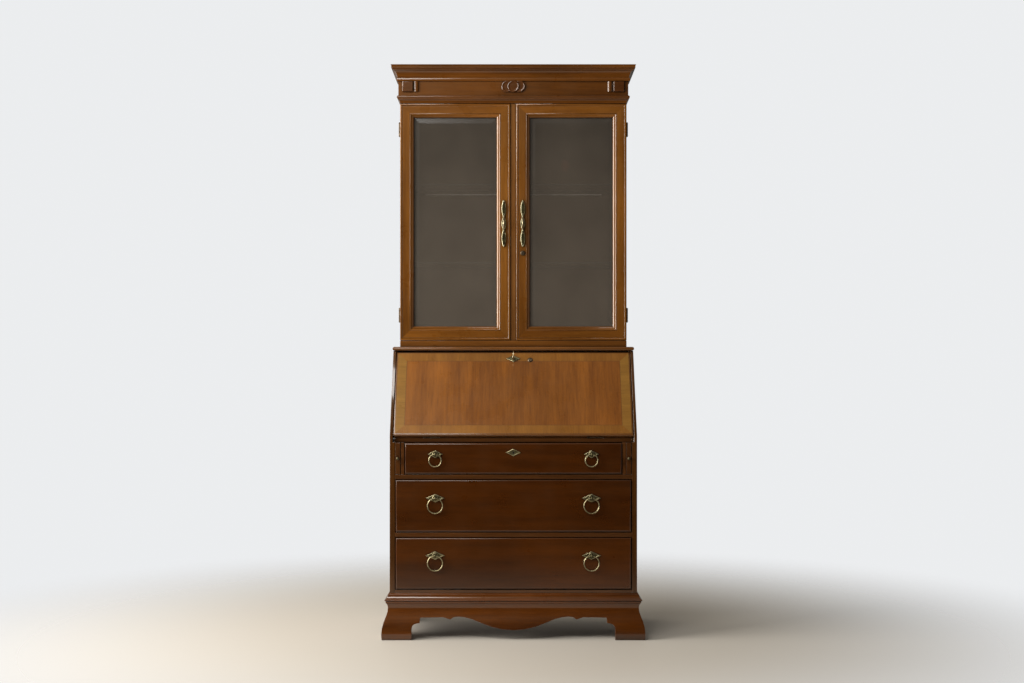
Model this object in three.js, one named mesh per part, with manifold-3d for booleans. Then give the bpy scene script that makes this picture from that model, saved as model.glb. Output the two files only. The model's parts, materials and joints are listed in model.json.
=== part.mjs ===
// A slant-front secretary desk with a glazed hutch standing on it.
// Millimetres, +Z up, front towards -Y. The origin is on the floor, in the middle of the desk's box.
import * as THREE from "three";
import { mergeVertices } from "three/addons/utils/BufferGeometryUtils.js";
import Module from "manifold-3d";

// ---- Driving sizes ----
const gap = 0.4; // left between pieces that touch

// Lower case
const caseWidth = 903;
const caseDepth = 460;
const sideThick = 19;
const backThick = 9;
const bottomBoardThick = 17;
const railThick = 16.5;
const writingBoardThick = 18;
const bottomDrawerOpening = 192.5;
const middleDrawerOpening = 195;
const topDrawerOpening = 117.5;

// Base
const baseHeight = 139;
const footFlare = 28.5; // how far the feet swell beyond the case
const footLength = 110;
const baseTuck = 10; // how far the bracket base reaches in under the case
const baseMouldingHeight = 29;
const bottomBoardRise = 40; // from the top of the bracket base to the top of the bottom board
const apronHeight = 81;
const apronDrop = 36; // floor to the lowest point of the apron's middle
const apronDropHalf = 230; // middle of the apron to the cusp that ends its drop

// Drawers and lopers
const drawerGap = 2.5;
const drawerProud = 4;
const drawerFrontThick = 20;
const drawerEdgeRadius = 6;
const trayWall = 11;
const trayBottom = 7;
const trayHeadroom = 14;
const trayLength = 384;
const dividerThick = 12;
const loperThick = 18;
const loperSlot = 22;
const loperLength = 400;
const loperPlay = 1;
const loperKnobRadius = 7;

// Fall front
const fallAngle = THREE.MathUtils.degToRad(28); // from the vertical
const fallLength = 349;
const fallThick = 17;
const fallReveal = 11.5; // the slanted edge of each side that stays visible beside the fall
const fallPlay = 0.7;
const keyholeRadius = 5.5;
const keyDrop = 31; // down the slope from the fall's top edge
const lockOffset = 63;
const lockDrop = 36;
const lockRadius = 9;
const lockBarrelRadius = 7.5;
const lockBarrelLength = 10;
const fallHingeOffset = 300;
const fallHingeWidth = 60;
const fallHingeLeaf = 18;
const leafThick = 1.6;
const fallKnuckleRadius = 2.6;

// Top board and writing gallery
const topBoardThick = 14.5;
const topBoardOverhang = 2.5;
const fallTopGap = 3.4;
const swingClearance = 1.5;
const gallerySetback = 205; // behind the case's front
const galleryBoard = 8;
const galleryColumns = 5;
const galleryDrawerHeight = 72;

// Hutch
const hutchInset = 23.5; // of the hutch's sides from the case's
const hutchLedge = 30; // top board in front of the doors
const hutchSideThick = 18;
const hutchBottomThick = 24;
const doorThick = 20;
const doorHeight = 894;
const doorSpacing = 22; // between the two doors
const doorPlay = 1.6;
const stileWidth = 52;
const innerMoulding = 16;
const glassRebate = 7;
const paneThick = 5;
const paneBevel = 20;
const centreStileWidth = 40;
const centreStileThick = 17;
const stileTonguePlay = 0.8; // between the stile's tongue and each door's edge
const stileTongueSet = 4; // behind the faces of the doors
const shelfThick = 6;
const lowerShelfRise = 294; // above the hutch's bottom board
const upperShelfRise = 592;
const hingeGap = 2.4; // between a door and the carcass, for the hinge leaf
const hingeHeight = 52;
const doorKnuckleRadius = 3.2;
const hingeInset = 95; // from a door's end to the middle of its hinge

// Cornice
const corniceFriezeWall = 20;
const corniceFloor = 18;
const corniceWell = 132; // height of the cornice above its floor's underside, to the crown's last fillet
const corniceCrown = 8;

// ---- Places worked out from the sizes ----
const caseFront = footFlare - (caseDepth + footFlare) / 2;
const caseBack = caseFront + caseDepth;
const caseHalf = caseWidth / 2;
const insideHalf = caseHalf - sideThick;
const insideBack = caseBack - backThick - gap;
const bottomBoardTop = baseHeight + bottomBoardRise;
const lowerRailBottom = bottomBoardTop + bottomDrawerOpening;
const lowerRailTop = lowerRailBottom + railThick;
const upperRailBottom = lowerRailTop + middleDrawerOpening;
const upperRailTop = upperRailBottom + railThick;
const writingBoardBottom = upperRailTop + topDrawerOpening;
const writingTop = writingBoardBottom + writingBoardThick;
const hingeY = caseFront + fallThick * Math.cos(fallAngle);
const slantStart = writingTop + fallThick * Math.sin(fallAngle);
const fallHalf = caseHalf - fallReveal;
const keyHeight = fallLength - keyDrop;
const lockHeight = fallLength - lockDrop;
const fallTop = writingTop + fallLength * Math.cos(fallAngle) + fallThick * Math.sin(fallAngle);
const topBoardBottom = fallTop + fallTopGap;
const topBoardTop = topBoardBottom + topBoardThick;
const noseRadius = topBoardThick / 2;
const noseHeight = topBoardBottom + noseRadius - writingTop;
const swingRadius = Math.hypot(fallLength, fallThick) + swingClearance + noseRadius;
const noseFront = hingeY + Math.sqrt(swingRadius ** 2 - noseHeight ** 2) - noseRadius;
const doorFace = noseFront + hutchLedge;
const doorBack = doorFace + doorThick;
const carcassFront = doorBack + hingeGap;
const hutchHalf = caseHalf - hutchInset;
const hutchInsideHalf = hutchHalf - hutchSideThick;
const hutchFloor = topBoardTop + hutchBottomThick;
const doorBottom = hutchFloor + doorPlay;
const doorTop = doorBottom + doorHeight;
const corniceBottom = doorTop + doorPlay;

// ---- Finishes ----
const caseWood = { color: 0x7d4a24, roughness: 0.42, metalness: 0 };
const paleWood = { color: 0x9a6f44, roughness: 0.6, metalness: 0 };
const veneer = { color: 0x8f653a, roughness: 0.35, metalness: 0 };
const drawerWood = { color: 0x54290f, roughness: 0.4, metalness: 0 };
const brass = { color: 0xa08a55, roughness: 0.38, metalness: 1 };
const clearGlass = { color: 0xcfd8d2, roughness: 0.05, metalness: 0, transparent: true, opacity: 0.35 };

// ---- Joining and cutting ----
const wasm = await Module();
wasm.setup();

function solidOf(geometry) {
  const plain = geometry.clone();
  plain.deleteAttribute("normal");
  plain.deleteAttribute("uv");
  const merged = mergeVertices(plain, 1e-4);
  const vertProperties = merged.attributes.position.array;
  return new wasm.Manifold(new wasm.Mesh({ numProp: 3, vertProperties, triVerts: new Uint32Array(merged.index.array) }));
}

function geometryOf(solid) {
  const mesh = solid.getMesh();
  const geometry = new THREE.BufferGeometry();
  geometry.setAttribute("position", new THREE.BufferAttribute(new Float32Array(mesh.vertProperties), 3));
  geometry.setIndex(new THREE.BufferAttribute(new Uint32Array(mesh.triVerts), 1));
  geometry.computeVertexNormals();
  return geometry;
}

const join = (first, ...others) => geometryOf(others.reduce((all, next) => all.add(solidOf(next)), solidOf(first)));
const cut = (first, ...tools) => geometryOf(tools.reduce((left, tool) => left.subtract(solidOf(tool)), solidOf(first)));
const common = (first, second) => geometryOf(solidOf(first).intersect(solidOf(second)));

// ---- Basic shapes ----
function box(x0, x1, y0, y1, z0, z1) {
  const geometry = new THREE.BoxGeometry(x1 - x0, y1 - y0, z1 - z0);
  return geometry.translate((x0 + x1) / 2, (y0 + y1) / 2, (z0 + z1) / 2);
}

const shapeOf = (outline) =>
  outline instanceof THREE.Shape ? outline : new THREE.Shape(outline.map(([a, b]) => new THREE.Vector2(a, b)));
const pairs = (points) => points.map((point) => [point.x, point.y]);

function prism(outline, depth, curveSegments = 4) {
  return new THREE.ExtrudeGeometry(shapeOf(outline), { depth, bevelEnabled: false, curveSegments });
}

// An outline of (y, z) points carried along X.
function alongX(outline, x0, x1) {
  const turn = new THREE.Matrix4().set(0, 0, 1, x0, 1, 0, 0, 0, 0, 1, 0, 0, 0, 0, 0, 1);
  return prism(outline, x1 - x0).applyMatrix4(turn);
}

// An outline of (x, z) points carried along Y.
function alongY(outline, y0, y1) {
  const turn = new THREE.Matrix4().set(1, 0, 0, 0, 0, 0, -1, y1, 0, 1, 0, 0, 0, 0, 0, 1);
  return prism(outline, y1 - y0).applyMatrix4(turn);
}

// An outline of (x, y) points carried along Z.
const alongZ = (outline, z0, z1) => prism(outline, z1 - z0).translate(0, 0, z0);

// A round bar along Y, from y0 to y1.
function barAlongY(radius, x, y0, y1, z, sides = 20) {
  return new THREE.CylinderGeometry(radius, radius, y1 - y0, sides).translate(x, (y0 + y1) / 2, z);
}

// A round bar along X, from x0 to x1.
function barAlongX(radius, x0, x1, y, z, sides = 16) {
  const bar = new THREE.CylinderGeometry(radius, radius, x1 - x0, sides).rotateZ(-Math.PI / 2);
  return bar.translate((x0 + x1) / 2, y, z);
}

// A block with the same moulding along its front and both sides, mitred at the two front corners.
// The profile goes up as [how far it stands out, height] from the faces of a plain block.
function mouldedBlock(profile, half, front, back) {
  const reach = 60;
  const bottom = profile[0][1];
  const top = profile.at(-1)[1];
  const frontOutline = [...profile.map(([out, z]) => [front - out, z]), [back, top], [back, bottom]];
  const rightEdge = profile.map(([out, z]) => [half + out, z]);
  const leftEdge = profile.map(([out, z]) => [-half - out, z]).reverse();
  const crosswise = alongX(frontOutline, -half - reach, half + reach);
  return common(crosswise, alongY([...rightEdge, ...leftEdge], front - reach, back));
}

// An upright panel with the same moulding round its four edges, or the cutter for a moulded opening.
// The steps go back as [y, how far the edge stands out] from a plain panel.
function mouldedPanel(steps, x, halfWidth, z, halfHeight) {
  const reach = 40;
  const back = [...steps].reverse();
  const plan = [
    ...steps.map(([y, out]) => [x + halfWidth + out, y]),
    ...back.map(([y, out]) => [x - halfWidth - out, y]),
  ];
  const section = [
    ...steps.map(([y, out]) => [y, z + halfHeight + out]),
    ...back.map(([y, out]) => [y, z - halfHeight - out]),
  ];
  const upright = alongZ(plan, z - halfHeight - reach, z + halfHeight + reach);
  return common(upright, alongX(section, x - halfWidth - reach, x + halfWidth + reach));
}

const desk = new THREE.Group();

function addPiece(name, geometry, finish, parent = desk) {
  const piece = new THREE.Mesh(geometry, new THREE.MeshStandardMaterial(finish));
  piece.name = name;
  parent.add(piece);
}

const bothSides = [
  ["left", -1],
  ["right", 1],
];

// ---- Bracket base: two ogee walls and a front one, mitred, with a scalloped apron cut between the feet ----
const footProfile = new THREE.Path()
  .moveTo(footFlare - 1.5, 0)
  .quadraticCurveTo(footFlare, 10, footFlare, 22)
  .bezierCurveTo(footFlare, 62, 6, 90, 6, 112)
  .quadraticCurveTo(6, 127, 14, 133)
  .lineTo(14, baseHeight - gap);
const baseBlock = mouldedBlock(pairs(footProfile.getPoints(5)), caseHalf, caseFront, caseBack);
const baseInside = caseHalf - baseTuck;
const frontSpanHalf = caseHalf + footFlare - footLength;

// The cut between two feet: each foot ends in a hook and a step below the apron's straight edge.
const footHook = new THREE.Path()
  .moveTo(0, -1)
  .lineTo(0, 20)
  .quadraticCurveTo(-2, 46, 5, 53)
  .quadraticCurveTo(12, 60, 29, 61)
  .lineTo(31, apronHeight - 1.5);
const hookPoints = pairs(footHook.getPoints(4));
const footCut = (start, end, middle) => [
  ...hookPoints.map(([along, z]) => [start + along, z]),
  ...middle,
  ...hookPoints.map(([along, z]) => [end - along, z]).reverse(),
];

// From the straight edge of the apron over a cusp and a lobe down to the middle.
const halfApron = [
  [apronDropHalf + 25, apronHeight],
  [apronDropHalf, apronHeight - 7.5],
  [apronDropHalf - 14, apronHeight + 0.5],
  [apronDropHalf - 31, apronHeight + 2],
  [apronDropHalf - 52, apronHeight],
  [apronDropHalf - 78, apronHeight - 6],
  [apronDropHalf - 120, apronDrop + 23],
  [apronDropHalf - 150, apronDrop + 12],
  [apronDropHalf - 190, apronDrop + 3],
];
const frontCut = footCut(-frontSpanHalf, frontSpanHalf, [
  ...halfApron.map(([x, z]) => [-x, z]),
  [0, apronDrop],
  ...halfApron.toReversed(),
]);
const sideCut = footCut(caseFront - footFlare + footLength, caseBack - footLength, []);

addPiece(
  "bracket_base",
  cut(
    baseBlock,
    box(-baseInside, baseInside, caseFront + baseTuck, caseBack + 1, -1, baseHeight + 1),
    alongY(frontCut, caseFront - footFlare - 5, caseFront + baseTuck + 1),
    alongX(sideCut, -caseHalf - footFlare - 5, caseHalf + footFlare + 5),
  ),
  caseWood,
);

// ---- Base moulding: a small step, a cove and a round tip, mitred round three sides ----
const baseMouldingTop = baseHeight + baseMouldingHeight;
const baseMouldingProfile = new THREE.Path()
  .moveTo(14, baseHeight)
  .quadraticCurveTo(18.5, baseHeight + 2, 17.5, baseHeight + 5)
  .quadraticCurveTo(8, baseHeight + 10, 6, baseHeight + 24)
  .lineTo(3.5, baseHeight + 25)
  .lineTo(2.5, baseMouldingTop);
addPiece(
  "base_moulding",
  cut(
    mouldedBlock(pairs(baseMouldingProfile.getPoints(4)), caseHalf, caseFront, caseBack),
    box(-caseHalf - gap, caseHalf + gap, caseFront - gap, caseBack + 1, baseHeight - 1, baseMouldingTop + 1),
  ),
  caseWood,
);

// ---- Case sides, with a rebate down the slant that the fall front closes into ----
const sideTop = topBoardBottom - gap;
const slope = Math.tan(fallAngle);
const sideOutline = [
  [caseFront, baseHeight],
  [caseBack, baseHeight],
  [caseBack, sideTop],
  [caseFront + (sideTop - slantStart) * slope, sideTop],
  [caseFront, slantStart],
];
// A point measured up the slope from the hinge line, and outwards from the fall's inner face.
const onSlope = (up, out) => [
  hingeY + up * Math.sin(fallAngle) - out * Math.cos(fallAngle),
  writingTop + up * Math.cos(fallAngle) + out * Math.sin(fallAngle),
];
const rebateBottom = writingTop - fallThick - fallPlay;
const rebateOutline = [
  [caseFront - 30, rebateBottom],
  [hingeY + fallPlay, rebateBottom],
  [hingeY + fallPlay, writingTop],
  onSlope(fallLength + 1, -fallPlay),
  onSlope(fallLength + 1, 30),
];
for (const [side, sign] of bothSides) {
  const plate = alongX(sideOutline, sign < 0 ? -caseHalf : insideHalf, sign < 0 ? -insideHalf : caseHalf);
  const rebateEnd = sign * (fallHalf + fallPlay);
  const rebateStart = sign * (insideHalf - 1);
  const rebate = alongX(rebateOutline, Math.min(rebateStart, rebateEnd), Math.max(rebateStart, rebateEnd));
  addPiece(`${side}_side`, cut(plate, rebate), caseWood);
}

// ---- Boards between the sides ----
const boardHalf = insideHalf - gap;
const bottomBoardBottom = bottomBoardTop - bottomBoardThick;
addPiece(
  "back_panel",
  box(-boardHalf, boardHalf, caseBack - backThick, caseBack, bottomBoardBottom, sideTop),
  paleWood,
);
addPiece(
  "bottom_board",
  box(-boardHalf, boardHalf, caseFront, insideBack, bottomBoardBottom, bottomBoardTop),
  caseWood,
);
addPiece("lower_drawer_rail", box(-boardHalf, boardHalf, caseFront, insideBack, lowerRailBottom, lowerRailTop), caseWood);
addPiece("upper_drawer_rail", box(-boardHalf, boardHalf, caseFront, insideBack, upperRailBottom, upperRailTop), caseWood);

const fallHingeNotch = (x) =>
  box(x - fallHingeWidth / 2 - gap, x + fallHingeWidth / 2 + gap, hingeY - 5, hingeY + 4, writingTop - 4, writingTop + 1);
const fallHingeRecess = (x) =>
  box(
    x - fallHingeWidth / 2 - gap,
    x + fallHingeWidth / 2 + gap,
    hingeY + 3,
    hingeY + fallHingeLeaf + gap,
    writingTop - leafThick - gap,
    writingTop + 1,
  );
const fallHingePlaces = bothSides.map(([, sign]) => sign * fallHingeOffset);
addPiece(
  "writing_board",
  cut(
    box(-boardHalf, boardHalf, hingeY, insideBack, writingBoardBottom, writingTop),
    ...fallHingePlaces.flatMap((x) => [fallHingeNotch(x), fallHingeRecess(x)]),
  ),
  caseWood,
);

// Two upright dividers part the top drawer from the loper slots, and a rail joins them at the back.
const dividerOutside = insideHalf - loperSlot;
const dividerInside = dividerOutside - dividerThick;
const frameBottom = upperRailTop + gap;
const frameTop = writingBoardBottom - gap;
const frameRailFront = caseFront + loperLength + 8;
addPiece(
  "loper_frame",
  join(
    box(-dividerOutside, -dividerInside, caseFront, insideBack, frameBottom, frameTop),
    box(dividerInside, dividerOutside, caseFront, insideBack, frameBottom, frameTop),
    box(-dividerInside - 1, dividerInside + 1, frameRailFront, frameRailFront + dividerThick, frameBottom, frameTop),
  ),
  caseWood,
);

// ---- Top board, with a round nose on its front and ends ----
const nose = new THREE.Path().absarc(0, topBoardBottom + noseRadius, noseRadius, -Math.PI / 2, Math.PI / 2);
addPiece(
  "top_board",
  mouldedBlock(pairs(nose.getPoints(5)), caseHalf + topBoardOverhang - noseRadius, noseFront + noseRadius, caseBack),
  caseWood,
);

// ---- Lopers: pull-out arms that hold the open fall up, each with a turned knob ----
const loperKnob = new THREE.Path()
  .moveTo(0, 0)
  .lineTo(4, 0)
  .lineTo(3, 5)
  .quadraticCurveTo(loperKnobRadius, 6, loperKnobRadius, 10)
  .quadraticCurveTo(loperKnobRadius, 14, 0, 15);
const loperMiddle = insideHalf - loperSlot / 2;
for (const [side, sign] of bothSides) {
  const x = sign * loperMiddle;
  const z = (upperRailTop + writingBoardBottom) / 2;
  const arm = box(
    x - loperThick / 2,
    x + loperThick / 2,
    caseFront - 1,
    caseFront + loperLength,
    upperRailTop + loperPlay,
    writingBoardBottom - loperPlay,
  );
  const knob = new THREE.LatheGeometry(loperKnob.getPoints(4), 14).rotateX(Math.PI);
  addPiece(`${side}_loper`, join(arm, knob.translate(x, caseFront, z)), caseWood);
}

// ---- Ring pulls: a lozenge plate with an eye, and a ring that hangs in it ----
function lozenge(width, height, hollow = 0.42) {
  const w = width / 2;
  const h = height / 2;
  const shape = new THREE.Shape().moveTo(w, 0);
  shape.quadraticCurveTo(w * hollow, h * hollow, 0, h);
  shape.quadraticCurveTo(-w * hollow, h * hollow, -w, 0);
  shape.quadraticCurveTo(-w * hollow, -h * hollow, 0, -h);
  shape.quadraticCurveTo(w * hollow, -h * hollow, w, 0);
  return shape;
}

const pullPlateThick = 3;
const pullWire = 5;
const pullEyeOut = 6.5; // from the plate's face to the middle of the eye
const pullEyeRadius = 7;
const smallPull = { width: 55, height: 27.5, ring: 50 };
const largePull = { width: 70, height: 30, ring: 60 };
const pullOffset = 285;

function addPull(name, size, x, z, face) {
  const eyeY = face - gap - pullPlateThick - pullEyeOut;
  const plate = alongY(lozenge(size.width, size.height), -pullPlateThick, 0).translate(x, face - gap, z);
  const eyeShape = new THREE.Shape().absarc(0, 0, pullEyeRadius, Math.PI, 2 * Math.PI);
  eyeShape.lineTo(pullEyeRadius, pullEyeOut + 1);
  eyeShape.lineTo(-pullEyeRadius, pullEyeOut + 1);
  eyeShape.holes.push(new THREE.Path().absarc(0, 0, pullWire / 2 + 0.8, 0, 2 * Math.PI, true));
  const eye = new THREE.ExtrudeGeometry(eyeShape, { depth: pullEyeRadius, bevelEnabled: false, curveSegments: 7 });
  // The eye's outline is drawn with its stem upwards: turn the stem to the plate and the hole along X.
  eye.translate(0, 0, -pullEyeRadius / 2).rotateY(Math.PI / 2).rotateX(Math.PI / 2).translate(x, eyeY, z);
  addPiece(`${name}_plate`, join(plate, eye), brass);
  const radius = (size.ring - pullWire) / 2;
  const ring = new THREE.TorusGeometry(radius, pullWire / 2, 8, 26, 2 * Math.PI);
  addPiece(`${name}_ring`, ring.rotateX(Math.PI / 2).translate(x, eyeY, z - radius), brass);
}

// ---- Drawers: a rounded front standing a little proud, and an open box behind it ----
const drawerFace = caseFront - drawerProud;

function addDrawer(name, half, bottom, top) {
  const width = 2 * (half - drawerGap);
  const height = top - bottom - 2 * drawerGap;
  const r = drawerEdgeRadius;
  const flat = new THREE.Shape([
    new THREE.Vector2(-width / 2, -height / 2),
    new THREE.Vector2(width / 2, -height / 2),
    new THREE.Vector2(width / 2, height / 2),
    new THREE.Vector2(-width / 2, height / 2),
  ]);
  const front = new THREE.ExtrudeGeometry(flat, {
    depth: drawerFrontThick - r + 1,
    bevelThickness: r,
    bevelSize: r,
    bevelOffset: -r,
    bevelSegments: 3,
  });
  const rounded = front.rotateX(Math.PI / 2).translate(0, drawerFace + drawerFrontThick + 1, (bottom + top) / 2);
  const backCut = box(-half, half, drawerFace + drawerFrontThick, drawerFace + 60, bottom, top);
  addPiece(`${name}_front`, cut(rounded, backCut), drawerWood);

  const trayHalf = half - drawerGap - 1;
  const trayFront = drawerFace + drawerFrontThick + gap;
  const trayBack = trayFront + trayLength;
  const trayFloor = bottom + 1;
  const trayTop = top - trayHeadroom;
  const tray = box(-trayHalf, trayHalf, trayFront, trayBack, trayFloor, trayTop);
  const inside = box(
    -trayHalf + trayWall,
    trayHalf - trayWall,
    trayFront - 1,
    trayBack - trayWall,
    trayFloor + trayBottom,
    trayTop + 1,
  );
  addPiece(`${name}_box`, cut(tray, inside), paleWood);
}

addDrawer("bottom_drawer", insideHalf, bottomBoardTop, lowerRailBottom);
addDrawer("middle_drawer", insideHalf, lowerRailTop, upperRailBottom);
addDrawer("top_drawer", dividerInside, upperRailTop, writingBoardBottom);
const pullRows = [
  ["top", smallPull, (upperRailTop + writingBoardBottom) / 2 + 16],
  ["middle", largePull, (lowerRailTop + upperRailBottom) / 2 + 28.5],
  ["bottom", largePull, (bottomBoardTop + lowerRailBottom) / 2 + 29.5],
];
for (const [row, size, z] of pullRows) {
  for (const [side, sign] of bothSides) {
    addPull(`${row}_${side}_pull`, size, sign * pullOffset, z, drawerFace);
  }
}

const escutcheonThick = 2;
const drawerEscutcheon = lozenge(55, 27);
drawerEscutcheon.holes.push(new THREE.Path().absarc(0, 0, 2.6, 0, 2 * Math.PI, true));
addPiece(
  "drawer_escutcheon",
  alongY(drawerEscutcheon, -escutcheonThick, 0).translate(0, drawerFace - gap, (upperRailTop + writingBoardBottom) / 2 + 22),
  brass,
);

// ---- Fall front and what is on it, drawn flat: X across, Y up the slope from the hinge line, Z outwards ----
const fall = new THREE.Group();
fall.position.set(0, hingeY, writingTop);
fall.rotation.x = Math.PI / 2 - fallAngle;
desk.add(fall);

const roundHole = (radius, x, y, depth) =>
  new THREE.CylinderGeometry(radius, radius, depth + 1, 16)
    .rotateX(Math.PI / 2)
    .translate(x, y, fallThick + (1 - depth) / 2);
addPiece(
  "fall_front",
  cut(
    box(-fallHalf, fallHalf, gap, fallLength, 0, fallThick),
    ...fallHingePlaces.map((x) =>
      box(x - fallHingeWidth / 2 - gap, x + fallHingeWidth / 2 + gap, -1, 4.5, -1, 5),
    ),
    roundHole(keyholeRadius, 0, keyHeight, 11),
    roundHole(lockBarrelRadius + gap, lockOffset, lockHeight, lockBarrelLength + 1),
  ),
  veneer,
  fall,
);
const fallEscutcheon = lozenge(54, 28);
fallEscutcheon.holes.push(new THREE.Path().absarc(0, 0, keyholeRadius, 0, 2 * Math.PI, true));
addPiece(
  "fall_escutcheon",
  prism(fallEscutcheon, escutcheonThick).translate(0, keyHeight, fallThick + gap),
  brass,
  fall,
);

const keyShank = new THREE.Path()
  .moveTo(0, -9)
  .lineTo(2.6, -9)
  .lineTo(2.6, 14)
  .lineTo(4.2, 15)
  .lineTo(4.2, 18)
  .lineTo(2.6, 19)
  .lineTo(2.6, 30)
  .lineTo(0, 30);
const keyBow = new THREE.Shape().absellipse(0, 0, 12, 9.5, 0, 2 * Math.PI);
keyBow.holes.push(new THREE.Path().absellipse(0, 0, 7.5, 5.5, 0, 2 * Math.PI, true));
addPiece(
  "fall_key",
  join(
    new THREE.LatheGeometry(keyShank.getPoints(1), 12).rotateX(Math.PI / 2),
    prism(keyBow, 3, 8).rotateX(Math.PI / 2).translate(0, 1.5, 38).rotateZ(Math.PI / 2),
    box(-0.9, 0.9, -4.6, 0, -8, -2),
  ).translate(0, keyHeight, fallThick),
  brass,
  fall,
);

const lockProfile = new THREE.Path()
  .moveTo(0, -lockBarrelLength)
  .lineTo(lockBarrelRadius, -lockBarrelLength)
  .lineTo(lockBarrelRadius, gap)
  .lineTo(lockRadius, gap)
  .lineTo(lockRadius, 2)
  .lineTo(lockRadius - 1, 3)
  .lineTo(0, 3);
// A lock's face with its barrel behind it, looking along +Z.
const lockGeometry = () => new THREE.LatheGeometry(lockProfile.getPoints(1), 20).rotateX(Math.PI / 2);
addPiece("fall_lock", lockGeometry().translate(lockOffset, lockHeight, fallThick), brass, fall);

// The fall's two hinges: a leaf let into the writing board, and a knuckle on the line where the boards meet.
for (const [side, sign] of bothSides) {
  const x = sign * fallHingeOffset;
  const knuckle = barAlongX(fallKnuckleRadius, x - fallHingeWidth / 2, x + fallHingeWidth / 2, hingeY, writingTop, 12);
  const leaf = box(
    x - fallHingeWidth / 2,
    x + fallHingeWidth / 2,
    hingeY,
    hingeY + fallHingeLeaf,
    writingTop - leafThick,
    writingTop - 0.1,
  );
  addPiece(`fall_hinge_${side}`, join(knuckle, leaf), brass);
}

// ---- Writing gallery: pigeonholes behind the fall front, with two small drawers ----
const galleryFront = caseFront + gallerySetback;
const galleryBack = insideBack - gap;
const galleryBottom = writingTop + gap;
const galleryTop = topBoardBottom - gap;
const galleryHalf = boardHalf;
const columnWidth = (2 * galleryHalf - (galleryColumns + 1) * galleryBoard) / galleryColumns;
const galleryFloor = galleryBottom + galleryBoard;
const galleryRoof = galleryTop - galleryBoard;
const rowSplits = {
  0: [(galleryFloor + galleryRoof - galleryBoard) / 2],
  1: [galleryFloor + galleryDrawerHeight, (galleryFloor + galleryDrawerHeight + galleryRoof) / 2],
  2: [],
  3: [galleryFloor + galleryDrawerHeight, (galleryFloor + galleryDrawerHeight + galleryRoof) / 2],
  4: [(galleryFloor + galleryRoof - galleryBoard) / 2],
};
const columnStart = (column) => -galleryHalf + galleryBoard + column * (columnWidth + galleryBoard);
const galleryHoles = [];
for (const [column, splits] of Object.entries(rowSplits)) {
  const x0 = columnStart(Number(column));
  let floor = galleryFloor;
  for (const split of [...splits, galleryRoof]) {
    galleryHoles.push(box(x0, x0 + columnWidth, galleryFront - 1, galleryBack + 1, floor, split));
    floor = split + galleryBoard;
  }
}
addPiece(
  "gallery",
  cut(box(-galleryHalf, galleryHalf, galleryFront, galleryBack, galleryBottom, galleryTop), ...galleryHoles),
  paleWood,
);
for (const [side, column] of [
  ["left", 1],
  ["right", 3],
]) {
  const x0 = columnStart(column) + 1;
  const x1 = columnStart(column) + columnWidth - 1;
  const z0 = galleryFloor + 0.6;
  const z1 = galleryFloor + galleryDrawerHeight - 1;
  const body = box(x0, x1, galleryFront + 1, galleryBack - 6, z0, z1);
  const inside = box(x0 + 7, x1 - 7, galleryFront + 12, galleryBack - 13, z0 + 6, z1 + 1);
  const wellTop = box(x0 - 1, x1 + 1, galleryFront + 12, galleryBack, z1 - 8, z1 + 1);
  addPiece(`gallery_drawer_${side}`, cut(body, inside, wellTop), drawerWood);
}

// ---- Hutch carcass ----
addPiece("hutch_bottom", box(-hutchHalf, hutchHalf, doorFace + 1, caseBack, topBoardTop + gap, hutchFloor), caseWood);
const carcassBottom = hutchFloor + gap;
const carcassTop = corniceBottom - gap;
for (const [side, sign] of bothSides) {
  const outside = sign * hutchHalf;
  const inside = sign * hutchInsideHalf;
  const plate = box(Math.min(outside, inside), Math.max(outside, inside), carcassFront, caseBack, carcassBottom, carcassTop);
  addPiece(`hutch_${side}_side`, plate, caseWood);
}
const hutchBackHalf = hutchInsideHalf - gap;
const hutchBackFront = caseBack - backThick;
addPiece("hutch_back", box(-hutchBackHalf, hutchBackHalf, hutchBackFront, caseBack, carcassBottom, carcassTop), paleWood);
const stileFront = doorBack + doorPlay;
const stileBack = stileFront + centreStileThick;
const tongueHalf = doorSpacing / 2 - stileTonguePlay;
addPiece(
  "centre_stile",
  join(
    box(-centreStileWidth / 2, centreStileWidth / 2, stileFront, stileBack, carcassBottom, carcassTop),
    box(-tongueHalf, tongueHalf, doorFace + stileTongueSet, stileFront + 1, carcassBottom, carcassTop),
  ),
  caseWood,
);
const shelfFront = stileBack + 6;
for (const [name, rise] of [
  ["lower", lowerShelfRise],
  ["upper", upperShelfRise],
]) {
  const z = hutchFloor + rise;
  const shelf = box(-hutchBackHalf, hutchBackHalf, shelfFront, hutchBackFront - gap, z, z + shelfThick);
  addPiece(`glass_shelf_${name}`, shelf, clearGlass);
}

// ---- Cornice: cove, astragal, frieze, cove, bead and crown, mitred, with a well behind it ----
const corniceTop = corniceBottom + corniceWell + corniceCrown;
const z0 = corniceBottom;
const corniceProfile = new THREE.Path()
  .moveTo(0, z0)
  .quadraticCurveTo(1, z0 + 12, 9, z0 + 15)
  .lineTo(9, z0 + 17)
  .quadraticCurveTo(14.5, z0 + 22, 9, z0 + 27)
  .lineTo(6, z0 + 28)
  .lineTo(6, z0 + 81)
  .lineTo(11, z0 + 82)
  .quadraticCurveTo(13, z0 + 87.5, 11, z0 + 93)
  .lineTo(9.5, z0 + 94)
  .quadraticCurveTo(10.5, z0 + 112, 21, z0 + 120)
  .quadraticCurveTo(27.5, z0 + 121, 27, z0 + 126.5)
  .lineTo(31, z0 + 128)
  .lineTo(31, corniceTop - corniceCrown)
  .quadraticCurveTo(31, corniceTop - 3, 33, corniceTop);
const wellHalf = hutchHalf + 6 - corniceFriezeWall;
const wellFront = doorFace - 6 + corniceFriezeWall;
const corniceBlock = cut(
  mouldedBlock(pairs(corniceProfile.getPoints(4)), hutchHalf, doorFace, caseBack),
  box(-wellHalf, wellHalf, wellFront, caseBack - corniceFriezeWall, z0 + corniceFloor, corniceTop + 1),
);
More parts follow.
